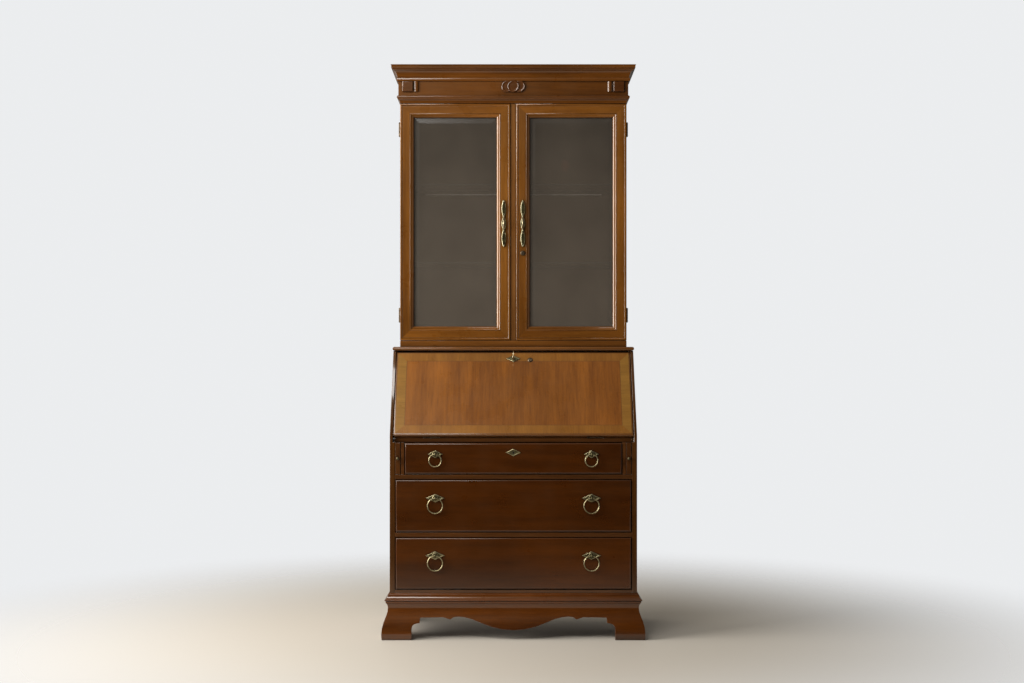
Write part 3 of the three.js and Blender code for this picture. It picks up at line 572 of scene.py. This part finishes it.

# The top drawer's keyhole plate is a smaller lozenge, pinned at its points, with a painted keyhole.
low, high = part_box("drawer_escutcheon")
plate_x = (low.x + high.x) / 2
plate_z = (low.z + high.z) / 2
plate = lozenge_plate((high.x - low.x) / MM, (high.z - low.z) / MM, 1.2, plate_x, high.y, plate_z)
finish_piece(join_pieces("drawer_keyhole_plate", [plate]), "top_drawer", None, "brass", "drawer_escutcheon")
# Painted shadow: a near-black material with a faint speckle, for the dark of the keyhole.
dark_hole, shader, add, put = new_material("keyhole_shadow")
dust = add("TexNoise", Scale=700.0)
put(shader["Base Color"], two_tones(add, dust, (0.002, 0.0015, 0.001), (0.008, 0.005, 0.003), 0, 1))
put(shader["Roughness"], 0.95)
# Painted shadow: the keyhole is not cut; a near-black round disc with a slot below it, laid on the plate, stands in
# for the shade inside the hole.
hole_y = high.y - 1.3 * MM
round_part = rod(2.5, 0.5, (plate_x, hole_y, plate_z + 1.6 * MM))
slot_part = panel_block("slot", (plate_x - 1.1 * MM, hole_y - 0.25 * MM, plate_z - 4.7 * MM),
                        (plate_x + 1.1 * MM, hole_y + 0.25 * MM, plate_z + 1.5 * MM))
hole = join_pieces("drawer_keyhole", [round_part, slot_part])
round_edges(hole, 0.1, 1)
finish_piece(hole, "top_drawer", dark_hole, "brass")

# ---- Lopers ----
# Pull-out arms of walnut that slide out beside the top drawer to hold the open fall front.
# Each has a small turned brass knob screwed into its end grain.
loper_wood = wood("walnut_lopers", (0.0315, 0.0094, 0.0016), (0.091, 0.0286, 0.0052), "y", seed=7.1, edge_wear_and_highlight=0.7)
dull_brass = old_brass("dull_brass", (0.2, 0.165, 0.09), (0.08, 0.065, 0.035), roughness=0.45)


def brass_knob(name, x, y, z, radius, length):
    """A small turned knob: a foot, a narrow neck and a flattened ball, its axis along Y."""
    knob = rod(radius * 0.62, 0.8, (x, y - 0.4 * MM, z), 28)
    front_face(knob, y - 0.8 * MM)
    draw_out((x, y, z), [(share * (length - 0.8), size) for share, size in (
        (0.1, 0.8), (0.16, 0.72), (0.14, 1.0), (0.1, 1.9), (0.12, 1.22), (0.12, 1.04), (0.12, 0.86), (0.09, 0.7),
        (0.05, 0.45))])
    shade(45)
    knob.name = name
    return knob


KNOB_LENGTH = 14
for side in ("left", "right"):
    low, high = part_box(f"{side}_loper")
    arm_front = low.y + KNOB_LENGTH * MM
    arm = panel_block(f"{side}_loper_arm", (low.x, arm_front, low.z), high)
    round_edges(arm, 1.6, 3)
    finish_piece(arm, f"{side}_loper", loper_wood, "case_wood", f"{side}_loper")
    knob = brass_knob(f"{side}_loper_knob", (low.x + high.x) / 2, arm_front, (low.z + high.z) / 2, 6.6, KNOB_LENGTH)
    finish_piece(knob, f"{side}_loper", dull_brass, "brass")

# ---- Fall front ----
# A clamped board veneered with upright figured walnut, with a lighter crossbanding mitred round it, a thin dark
# line between the two, and a thumbnail moulding round the edge. It turns down on two hinges to make the desk.
hinge_line = next(j for j in frame["joints"] if j["name"] == "fall_hinge")["pos_m"]
SLANT = math.radians(28)
FALL_THICK = 17
FALL_LENGTH = 349
THUMB = 6
BAND = 33
LINE = 1.2
fall_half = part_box("fall_front")[1].x


def tilt(piece):
    """Lays a piece that was made upright, with its back at y = 0 and z up from the hinge line, on the slant."""
    take(piece)
    piece.rotation_euler = (-SLANT, 0, 0)
    piece.location = hinge_line
    return settle()


def cut_away(piece, cutter):
    """Cuts one piece out of another and throws the cutter away."""
    work(piece, "BOOLEAN", operation="DIFFERENCE", object=cutter, solver="EXACT")
    bpy.data.objects.remove(cutter)


THUMB_FILLET = ((1.2, 0), (0.3, -1.0))
fall = moulded_panel("fall_front_board", (-fall_half, -FALL_THICK * MM, 0.4 * MM), (fall_half, 0, FALL_LENGTH * MM),
                     THUMB + 1, (*quarter_round(THUMB), *THUMB_FILLET, (BAND, 0), (LINE, 0)))
edge_run = THUMB + sum(step[0] for step in THUMB_FILLET)
field_veneer = wood("figured_walnut_veneer", (0.1, 0.0265, 0.0025), (0.25, 0.0815, 0.0088), "z", tilt=SLANT,
                    figure=1.5, gloss=0.3, seed=9.2, edge_wear_and_highlight=0.3)
band_upright = wood("crossband_ends_up", (0.1584, 0.0546, 0.0058), (0.2496, 0.0983, 0.0123), "z", tilt=SLANT,
                    figure=2.6, gloss=0.3, seed=1.2, edge_wear_and_highlight=0.3)
# The level bands at the two ends are greyer and bluer than the upright ones: their colour carries a painted sheen of
# reflected light.
side_band_and_sheen = wood("crossband_ends_and_sheen", (0.165, 0.07, 0.009), (0.262, 0.124, 0.019), "x", tilt=SLANT, figure=2.2,
                  gloss=0.3, seed=4.2, edge_wear_and_highlight=0.3)
dark_line = wood("dark_stringing", (0.07, 0.026, 0.008), (0.1, 0.04, 0.013), "x", seed=1.1, edge_wear_and_highlight=0.0)
edge_wood = wood("walnut_fall_edge", (0.084, 0.027, 0.0048), (0.182, 0.066, 0.0132), "x", tilt=SLANT, seed=2.8,
                 edge_wear_and_highlight=0.9)


def fall_finish(face):
    """Edge, field, upright band, level band with its painted sheen, and line are finishes 0 to 4."""
    middle = face.center
    from_edge = min(fall_half / MM - abs(middle.x) / MM, middle.z / MM - 0.4, FALL_LENGTH - middle.z / MM)
    if abs(middle.y + FALL_THICK * MM) > 0.1 * MM:
        return 1 if abs(middle.y) < 0.1 * MM else 0
    if from_edge > edge_run + BAND + LINE + 1:
        return 1
    if from_edge > edge_run + BAND:
        return 4
    if from_edge > edge_run:
        return 3 if fall_half - abs(middle.x) < 60 * MM else 2
    return 0


paint(fall, (edge_wood, field_veneer, band_upright, side_band_and_sheen, dark_line), fall_finish)
# Notches for the two hinges.
for x in (-0.3, 0.3):
    cut_away(fall, panel_block("notch", (x - 30.4 * MM, -4.6 * MM, -1 * MM), (x + 30.4 * MM, 1 * MM, 4.6 * MM)))
settle_shading(fall)
finish_piece(tilt(fall), "fall", None, "fall_veneer", "fall_front")

# ---- What is on the fall front: keyhole plate, key, round lock ----
# The plate is a cast lozenge pinned to the veneer, the key a small cast one with an oval bow, left in its lock.
# The round lock beside it is a turned brass barrel let into the board, its face cut by a keyway.
KEY_RISE = 318
key_z = KEY_RISE * MM
face_y = -FALL_THICK * MM
fall_plate = lozenge_plate(54, 28, 1.3, 0, face_y - 0.4 * MM, key_z)
cut_away(fall_plate, rod(4.6, 20, (0, face_y, key_z), 24))
fall_plate.name = "fall_keyhole_plate"
finish_piece(tilt(fall_plate), "fall", None, "brass", "fall_escutcheon")

shank = rod(2.3, 6, (0, face_y + 4 * MM, key_z))
front_face(shank, face_y + 1 * MM)
draw_out((0, 0, key_z), ((13, 1.0), (1.2, 1.55), (1.0, 1.12), (1.2, 1.0), (1.0, 0.88), (1.2, 0.66), (3, 1.0),
                         (0.9, 1.45), (1.2, 1.05), (0.9, 0.66), (5.6, 1.0)))
bow = wire_ring(9.2, 2.0, (0, face_y - 38 * MM, key_z), 40, 12, "z")
bow.scale = (1.04, 0.82, 0.72)
bow.rotation_euler = AXES["x"]
bpy.ops.object.transform_apply(location=False, rotation=True, scale=True)
bit = panel_block("bit", (-0.8 * MM, face_y + 3 * MM, key_z - 4.3 * MM),
                  (0.8 * MM, face_y + 7 * MM, key_z - 0.9 * MM))
key = join_pieces("fall_lock_key", [shank, bow, bit])
shade(40)
rubbed_brass = old_brass("rubbed_brass", (0.66, 0.57, 0.37), (0.34, 0.28, 0.16), roughness=0.3)
finish_piece(tilt(key), "key", rubbed_brass, "brass", "fall_key")


def round_lock(name, x, y, z):
    """The face of a barrel lock: a turned rim, a plug set back in it, and a keyway."""
    barrel = rod(7.3, 8, (x, y + 4.4 * MM, z), 40)
    front_face(barrel, y + 0.4 * MM)
    draw_out((x, y, z), ((0.8, 1.0), (0.0, 1.22), (1.0, 1.0), (0.9, 0.9), (0.3, 0.88), (-0.9, 0.97), (0.0, 0.86),
                         (0.5, 1.0), (0.3, 0.94)))
    cut_away(barrel, panel_block("keyway", (x - 0.8 * MM, y - 4 * MM, z - 3.2 * MM),
                                 (x + 0.8 * MM, y - 0.6 * MM, z + 3.2 * MM)))
    shade(30)
    barrel.name = name
    return barrel


dark_brass = old_brass("browned_brass", (0.19, 0.14, 0.09), (0.07, 0.05, 0.03), roughness=0.4)
fall_lock = round_lock("fall_round_lock", 63 * MM, face_y, 313 * MM)
finish_piece(tilt(fall_lock), "fall", dark_brass, "brass", "fall_lock")

# ---- Fall hinges ----
# Two cast brass hinges let in flush where the fall meets the writing board, each leaf held by three screws.
SCREW_RADIUS = 2.6
for side in ("left", "right"):
    hinge = shaped_copy(f"fall_hinge_{side}", f"fall_hinge_{side}_leaf", 0.3)
    finish_piece(hinge, "case", dark_brass, "brass", f"fall_hinge_{side}")
    low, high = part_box(f"fall_hinge_{side}")
    y, z = high.y - 6.5 * MM, hinge_line[2] + 0.05 * MM
    for across in (-20, 0, 20):
        x = (low.x + high.x) / 2 + across * MM
        screw = rod(SCREW_RADIUS, 0.5, (x, y, z), axis="z")
        cut_away(screw, panel_block("slot", (x - 3 * MM, y - 0.3 * MM, z + 0.05 * MM),
                                    (x + 3 * MM, y + 0.3 * MM, z + 0.95 * MM)))
        screw.name = f"fall_hinge_{side}_screw_{across + 20}"
        finish_piece(screw, "case", brass, "brass")

# ---- Writing gallery ----
# Pigeonholes of thin walnut boards housed into each other, with two small drawers that have brass knobs.
# Only a hand's depth of the writing board lies in front of it when the fall front is shut.
gallery_wood = wood("walnut_gallery", (0.09, 0.038, 0.012), (0.21, 0.1, 0.035), "x", seed=5.6, gloss=0.42)
gallery = shaped_copy("gallery", "writing_gallery", 0.5)
finish_piece(gallery, "case", gallery_wood, "inner_wood", "gallery")
for side in ("left", "right"):
    drawer = shaped_copy(f"gallery_drawer_{side}", f"gallery_drawer_{side}_box", 0.8)
    finish_piece(drawer, f"gallery_drawer_{side}", field_veneer, "drawer_wood", f"gallery_drawer_{side}")
    low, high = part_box(f"gallery_drawer_{side}")
    knob = brass_knob(f"gallery_drawer_{side}_knob", (low.x + high.x) / 2, low.y, (low.z + high.z) / 2, 6.5, 12)
    finish_piece(knob, f"gallery_drawer_{side}", brass, "brass")

# ---- Top board of the desk ----
# A solid walnut shelf with a bullnose front, on top of the case; the glazed hutch stands on it.
top_board = shaped_copy("top_board", "desk_top_board", 0.6, 2, smooth=40)
top_wood = wood("walnut_top_board", (0.0667, 0.0212, 0.0032), (0.188, 0.0667, 0.0108), "x", seed=7.7, gloss=0.3)
finish_piece(top_board, "case", top_wood, "case_wood", "top_board")

# ---- Hutch carcass ----
# Two upright walnut sides housed into a bottom board, with a stile down the middle that both doors close on.
# The back is one veneered board that was left dark, with a knot high on its right.
hutch_wood = wood("walnut_hutch_upright", (0.0972, 0.0351, 0.0077), (0.2858, 0.1151, 0.0265), "z", seed=3.6,
                  gloss=0.32)
hutch_bottom = shaped_copy("hutch_bottom", "hutch_bottom_board", 1.0, 3)
finish_piece(hutch_bottom, "case", top_wood, "case_wood", "hutch_bottom")
for side in ("left", "right"):
    plate = shaped_copy(f"hutch_{side}_side", f"hutch_{side}_upright", 1.0, 3)
    finish_piece(plate, "case", hutch_wood, "case_wood", f"hutch_{side}_side")
stile = shaped_copy("centre_stile", "hutch_centre_stile", 1.6, 3)
finish_piece(stile, "case", hutch_wood, "case_wood", "centre_stile")
knotty_back = wood("hutch_back_board", (0.05, 0.031, 0.02), (0.1, 0.062, 0.04), "z", figure=0.6, seed=6.9, gloss=0.5,
                   edge_wear_and_highlight=0.0)
add, put = node_maker(knotty_back.node_tree)
back_colour = knotty_back.node_tree.nodes["Principled BSDF"].inputs["Base Color"]
knot_place = add("Mapping", Vector=add("TexCoord", "Object"), Location=(-0.206, 0, -1.794))
knot_shape = add("VectorMath", operation="MULTIPLY", fill=(knot_place, (1.15, 0, 0.8)))
knot_reach = add("VectorMath", operation="LENGTH", Vector=knot_shape)
knot_mask = add("MapRange", Value=knot_reach, From_Min=0.008, From_Max=0.026, To_Min=1.0, To_Max=0.0)
board_colour = back_colour.links[0].from_socket
put(back_colour, add("Mix", data_type="RGBA", Factor=knot_mask, A=board_colour, B=(0.2, 0.06, 0.03, 1)))
hutch_back = shaped_copy("hutch_back", "hutch_back_board", 0.5)
finish_piece(hutch_back, "case", knotty_back, "inner_wood", "hutch_back")

# ---- Glass shelves ----
# Two loose sheets of plate glass, their front edges ground and polished, resting on pins in the sides.


def glass(name, tint, alpha, roughness=0.04, smear=0.03):
    """Old plate glass: a faint body colour, a film of dust, painted shade towards the top and a smooth face."""
    material, shader, add, put = new_material(name)
    put(shader["Alpha"], alpha)
    put(shader["IOR"], 1.5)
    film = add("TexNoise", Vector=add("TexCoord", "Object"), Scale=7.0, Detail=6.0, Roughness=0.6)
    body = two_tones(add, film, (0.88 * c for c in tint), (1.1 * c for c in tint), 0.3, 0.7)
    # Painted shade: the colour darkens towards the top, standing in for the shade under the cornice.
    height = add("SeparateXYZ", "Z", Vector=add("TexCoord", "Object"))
    top_shade = add("MapRange", Value=height, From_Min=1.3, From_Max=1.95, To_Min=1.1, To_Max=0.72)
    put(shader["Base Color"], add("VectorMath", operation="SCALE", Vector=body, Scale=top_shade))
    put(shader["Roughness"], add("MapRange", Value=film, From_Min=0.35, From_Max=0.7, To_Min=roughness,
                                 To_Max=roughness + smear))
    return material


shelf_glass = glass("shelf_plate_glass", (0.05, 0.062, 0.056), 0.14)
shelf_edge = glass("polished_shelf_edge", (0.1, 0.125, 0.115), 0.45, roughness=0.1)
highlight_strip_paint = old_brass("painted_highlight_strip", (0.95, 0.92, 0.85), (0.86, 0.83, 0.76), roughness=0.5)
brass_pin = old_brass("brass_shelf_pins", (0.5, 0.4, 0.23), (0.24, 0.19, 0.1))
for place in ("lower", "upper"):
    low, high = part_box(f"glass_shelf_{place}")
    sheet = panel_block(f"{place}_shelf_sheet", low, high)
    round_edges(sheet, 0.9, 2)
    paint(sheet, (shelf_glass, shelf_edge), lambda face: 0 if abs(face.normal.z) > 0.9 else 1)
    finish_piece(sheet, "case", None, "glass", f"glass_shelf_{place}")
    # Four turned pins under each sheet, with their collars against the sides.
    for side, x, sign in (("left", low.x, 1), ("right", high.x, -1)):
        for end, y in (("front", low.y + 0.035), ("back", low.y + 0.185)):
            pin = rod(2.5, 9, (x + sign * 4.6 * MM, y, low.z - 2.6 * MM), 16, "x")
            collar = rod(4.4, 1.4, (x + sign * 0.9 * MM, y, low.z - 4.6 * MM), 20, "x")
            pin = join_pieces(f"{place}_shelf_pin_{side}_{end}", [pin, collar])
            round_edges(pin, 0.4, 2)
            finish_piece(pin, "case", brass_pin, "brass")

# A thin cleat on the back board carries the upper sheet along its back edge. Under it runs a pale strip that stands
# in for the bright line along the sheet's back edge: a painted highlight.
low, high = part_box("glass_shelf_upper")
CLEAT_INSET = 60 * MM
cleat = panel_block("upper_shelf_cleat", (low.x + CLEAT_INSET, high.y - 5 * MM, low.z - 6 * MM),
                    (high.x - CLEAT_INSET, high.y, low.z - 0.1 * MM))
round_edges(cleat, 0.5, 2)
finish_piece(cleat, "case", knotty_back, "inner_wood")
strip = moulded_panel("upper_shelf_strip", (low.x + CLEAT_INSET, high.y - 7 * MM, low.z - 10 * MM),
                      (high.x - CLEAT_INSET, high.y, low.z - 6 * MM), 0, ((0.5, -0.5), (0.6, 0.3)))
round_edges(strip, 0.3, 2)
finish_piece(strip, "case", highlight_strip_paint, "brass")

# ---- Cornice ----
# A built-up walnut cornice with coves, a frieze and a crown, mitred at the corners and open behind.
# Square blocks with reeds stand at the ends of the frieze, and three overlapping turned discs in its middle.
cornice_wood = wood("walnut_cornice", (0.0589, 0.0168, 0.0019), (0.1733, 0.0544, 0.0065), "x", seed=1.3, gloss=0.32,
                    edge_wear_and_highlight=0.7)
cornice = shaped_copy("cornice", "hutch_cornice", 0.5, 2, smooth=40)
finish_piece(cornice, "case", cornice_wood, "case_wood", "cornice")
# A rounded rim is turned on each disc, and the end blocks have their faces rounded over.
FRIEZE_PROUD = 12
frieze_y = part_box("right_door_frame")[0].y - FRIEZE_PROUD * MM
disc_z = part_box("cornice")[0].z + 62 * MM
carving_wood = wood("walnut_turned_carving", (0.0375, 0.0102, 0.0018), (0.1125, 0.0336, 0.006), "x", seed=2.3,
                    gloss=0.3, edge_wear_and_highlight=0.7)
rims = []
for x, radius, proud in ((-23 * MM, 21.5, 2), (23 * MM, 21.5, 2), (0, 22, 0)):
    disc = rod(radius, 0.4, (x, frieze_y + (proud - 0.2) * MM, disc_z), 64)
    front_face(disc, frieze_y + (proud - 0.4) * MM)
    draw_out((x, 0, disc_z), ((0.5, 0.99), (0.5, 0.975), (0.4, 0.965), (0.2, 0.955), (0.0, 0.955), (-0.4, 0.965),
                              (-0.5, 0.965), (-0.4, 0.92), (-0.1, 0.8), (0.1, 0.6), (0.2, 0.4)))
    rims.append(disc)
discs = join_pieces("cornice_turned_discs", rims)
settle_shading(discs, 50)
finish_piece(discs, "case", carving_wood, "case_wood")
for side, sign in (("left", -1), ("right", 1)):
    x = sign * 398.5 * MM
    z = disc_z - 1 * MM
    tile = moulded_panel(f"cornice_{side}_end_block", (x - 20 * MM, frieze_y - 0.2 * MM, z - 18.6 * MM),
                         (x + 20 * MM, frieze_y + 1 * MM, z + 18.6 * MM), 0, quarter_round(2.4, 5))
    settle_shading(tile)
    finish_piece(tile, "case", carving_wood, "case_wood")

# ---- Doors ----
# Walnut frames mitred at the corners: a bead and a quirk run round the outside, a flat, and a stepped moulding
# round the glass. The bevelled pane sits in a rebate at the back. Each door swings on two butt hinges.
door_upright = wood("walnut_door_stiles", (0.0932, 0.0292, 0.0035), (0.2486, 0.0916, 0.0123), "z", figure=0.8,
                    seed=5.1, gloss=0.3, edge_wear_and_highlight=0.9)
door_level = wood("walnut_door_rails", (0.0932, 0.0282, 0.0033), (0.2486, 0.0886, 0.0111), "x", figure=0.8, seed=8.8,
                  gloss=0.3, edge_wear_and_highlight=0.9)
pane_glass = glass("bevelled_pane", (0.132, 0.1092, 0.085), 0.42)
bevel_glass = glass("ground_bevel", (0.14, 0.118, 0.094), 0.43, roughness=0.2)
OUTER_BEAD = ((0.5, -1.6), (1.0, -0.9), (1.5, -0.4), (1.5, -0.1), (1.5, 0.1), (1.3, 0.5), (0.7, 0.9), (0.6, 0.6),
              (0.6, 0.0), (0.5, -1.3))
INNER_STEPS = ((0.4, 1.7), (0.8, -1.0), (1.2, -0.5), (1.2, 0.1), (1.2, 0.6), (0.8, 1.0), (0.6, 0.9), (1.8, 0.5),
               (2.4, 0.9), (2.2, 1.3), (1.7, 1.7), (0.9, 1.6), (0.8, 1.2))
STILE = 52
REBATE = 7
REBATE_DEPTH = 8.2
BEAD_PROUD = 3
BEVEL = 27
flat_run = STILE - sum(step[0] for step in OUTER_BEAD + INNER_STEPS)
sunk = BEAD_PROUD + sum(step[1] for step in OUTER_BEAD + INNER_STEPS)
for side in ("left", "right"):
    low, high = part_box(f"{side}_door_frame")
    joinery = moulded_panel(f"{side}_door_joinery", low, high, BEAD_PROUD, (*OUTER_BEAD, (flat_run, 0), *INNER_STEPS))
    front_face(joinery, high.y)
    run_moulding(((STILE - REBATE, 0), (0.01, -REBATE_DEPTH), (REBATE - 0.01, 0)))
    bpy.ops.object.mode_set(mode="OBJECT")
    # The faces that close the frame's opening, in front and at the back, are taken out by a bridge between them.
    for face in joinery.data.polygons:
        middle = face.center
        centred = max(abs(middle.x - (low.x + high.x) / 2), abs(middle.z - (low.z + high.z) / 2)) < 0.001
        at_depth = min(abs(middle.y - low.y - sunk * MM), abs(middle.y - high.y + REBATE_DEPTH * MM)) < 0.0001
        face.select = centred and at_depth
    bpy.ops.object.mode_set(mode="EDIT")
    bpy.ops.mesh.bridge_edge_loops()
    bpy.ops.object.mode_set(mode="OBJECT")
    # The corners are mitred, so the nearer edge says which way the grain runs.
    paint(joinery, (door_upright, door_level), lambda face: 0 if (
        min(face.center.x - low.x, high.x - face.center.x)
        < min(face.center.z - low.z, high.z - face.center.z)) else 1)
    if side == "right":
        lock_low, lock_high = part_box("door_lock")
        lock_x = (lock_low.x + lock_high.x) / 2
        lock_z = (lock_low.z + lock_high.z) / 2
        cut_away(joinery, rod(7.7, 20, (lock_x, low.y + 1 * MM, lock_z), 32))
    settle_shading(joinery)
    finish_piece(joinery, f"{side}_door", None, "case_wood", f"{side}_door_frame")

    low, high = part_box(f"{side}_glass")
    pane = moulded_panel(f"{side}_bevelled_pane", low, high, BEAD_PROUD, ((BEVEL, -BEAD_PROUD),))
    paint(pane, (pane_glass, bevel_glass), lambda face: 0 if abs(face.normal.y) > 0.9999 else 1)
    finish_piece(pane, f"{side}_door", None, "glass", f"{side}_glass")

# ---- Door pulls ----
# Cast openwork brass: a pointed loop above and below, an oval one between them, and a bowed grip across the
# middle. They are pinned to the meeting stiles, and the grips have been rubbed bright.


def cast_loop(half_width, half_length, wire, x, y, z, point):
    """A cast ring drawn out up and down: point 0 leaves it oval and 1 brings its ends to points."""
    clear_selection()
    bpy.ops.mesh.primitive_torus_add(major_segments=56, minor_segments=10, major_radius=1, minor_radius=0.1)
    loop = bpy.context.object
    for vertex in loop.data.vertices:
        turn = math.atan2(vertex.co.y, vertex.co.x)
        out = (math.hypot(vertex.co.x, vertex.co.y) - 1) * 10 * wire
        front = vertex.co.z * 10 * wire * 1.25
        rise = math.sin(turn)
        oval = math.cos(turn)
        pointed = math.copysign(1 - rise * rise, oval)
        across = half_width * (oval * (1 - point) + pointed * point)
        lean = half_width / half_length * 2 * rise * (1 if point else 0.5)
        size = math.hypot(1, lean)
        vertex.co = (x + (across + math.copysign(out, oval) / size) * MM, y - front * MM,
                     z + (half_length * rise + out * lean / size) * MM)
    return loop


def loop_web(half_width, half_length, x, y, z, point):
    """A thin web that closes the opening behind a loop."""
    clear_selection()
    bpy.ops.mesh.primitive_cylinder_add(vertices=48, radius=1, depth=1, rotation=AXES["y"])
    web = settle()
    for vertex in web.data.vertices:
        pointed = math.copysign(1 - min(1.0, vertex.co.z ** 2), vertex.co.x)
        across = vertex.co.x * (1 - point) + pointed * point
        vertex.co = (x + half_width * across * MM, y - (0.5 - vertex.co.y * 0.8) * MM,
                     z + half_length * vertex.co.z * MM)
    return web


def bowed_grip(half_length, x, y, z, proud):
    """A grip that bows forward between two feet, thick in the middle with a collar at either side."""
    clear_selection()
    bpy.ops.mesh.primitive_uv_sphere_add(segments=16, ring_count=40, radius=1)
    grip = bpy.context.object
    for vertex in grip.data.vertices:
        along = vertex.co.z
        round_x, round_y = vertex.co.x, vertex.co.y
        size = math.hypot(round_x, round_y)
        thick = 2.2 + 1.3 * math.exp(-(along / 0.3) ** 2) + 0.9 * math.exp(-((abs(along) - 0.5) / 0.07) ** 2)
        thick *= min(1.0, 3.2 * size)
        reach = proud * (1 - along * along) ** 0.8
        if size > 0:
            round_x, round_y = round_x / size * thick, round_y / size * thick
        vertex.co = (x + round_x * MM, y - (reach + 2 - round_y) * MM, z + half_length * along * MM)
    return grip


web_brass = old_brass("blackened_brass", (0.09, 0.078, 0.032), (0.035, 0.03, 0.014), roughness=0.55)
olive_brass = old_brass("olive_brass", (0.62, 0.57, 0.36), (0.36, 0.32, 0.18), roughness=0.36)
LOOPS = ((55.9, 31, 0.9), (-55.9, 31, 0.9), (0, 21.5, 0.3))
BOSSES = ((24.5, 3.4, 4.2), (-24.5, 3.4, 4.2), (36, 1.9, 2.6), (-36, 1.9, 2.6), (84.6, 2.2, 2.8), (-84.6, 2.2, 2.8))
for side in ("left", "right"):
    low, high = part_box(f"{side}_door_pull")
    x = (low.x + high.x) / 2
    y = high.y
    z = (low.z + high.z) / 2
    loops = [cast_loop(6.2, length, 2.2, x, y - 2.8 * MM, z + rise * MM, point) for rise, length, point in LOOPS]
    webs = [loop_web(5.4, length - 1.5, x, y, z + rise * MM, point) for rise, length, point in LOOPS]
    web = join_pieces(f"{side}_pull_web", webs)
    shade(40)
    finish_piece(web, f"{side}_door", web_brass, "brass")
    bosses = [dome(radius, proud, x, y, z + rise * MM) for rise, radius, proud in BOSSES]
    openwork = join_pieces(f"{side}_pull_openwork", loops + bosses)
    bpy.ops.object.shade_smooth()
    finish_piece(openwork, f"{side}_door", olive_brass, "brass", f"{side}_door_pull")
    grip = bowed_grip(24.5, x, y, z, 20)
    grip.name = f"{side}_pull_grip"
    bpy.ops.object.shade_smooth()
    finish_piece(grip, f"{side}_door", rubbed_brass, "brass")

# The right door's lock is a turned brass barrel under its pull, like the one in the fall front.
low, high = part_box("door_lock")
door_lock = round_lock("door_round_lock", (low.x + high.x) / 2, low.y + 3 * MM, (low.z + high.z) / 2)
finish_piece(door_lock, "right_door", dark_brass, "brass", "door_lock")

# ---- Door hinges ----
# Butt hinges with a round barrel of five knuckles and a button at either end, let into the door and the side.
KNUCKLES = 5
BARREL = 3.2
for side, sign in (("left", -1), ("right", 1)):
    for place in ("lower", "upper"):
        node = f"{side}_door_hinge_{place}"
        low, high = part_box(node)
        barrel_x = (high.x - BARREL * MM) if sign > 0 else (low.x + BARREL * MM)
        barrel_y = (low.y + high.y) / 2
        leaf_end = low.x if sign > 0 else high.x
        leaf = panel_block("leaf", (min(leaf_end, barrel_x), barrel_y - 1 * MM, low.z),
                           (max(leaf_end, barrel_x), barrel_y + 1 * MM, high.z))
        round_edges(leaf, 0.3, 1)
        hinge_parts = [leaf]
        height = (high.z - low.z) / KNUCKLES
        for k in range(KNUCKLES):
            middle = (barrel_x, barrel_y, low.z + (k + 0.5) * height)
            knuckle = rod(BARREL - 0.05, height / MM - 0.3, middle, axis="z")
            round_edges(knuckle, 0.35, 2)
            hinge_parts.append(knuckle)
        for end in (low.z, high.z):
            clear_selection()
            bpy.ops.mesh.primitive_uv_sphere_add(segments=16, ring_count=10, radius=2.6 * MM, scale=(1, 1, 0.8),
                                                 location=(barrel_x, barrel_y, end))
            hinge_parts.append(bpy.context.object)
        hinge = join_pieces(f"{side}_{place}_butt_hinge", hinge_parts)
        shade(35)
        finish_piece(hinge, "case", dark_brass, "brass", node)
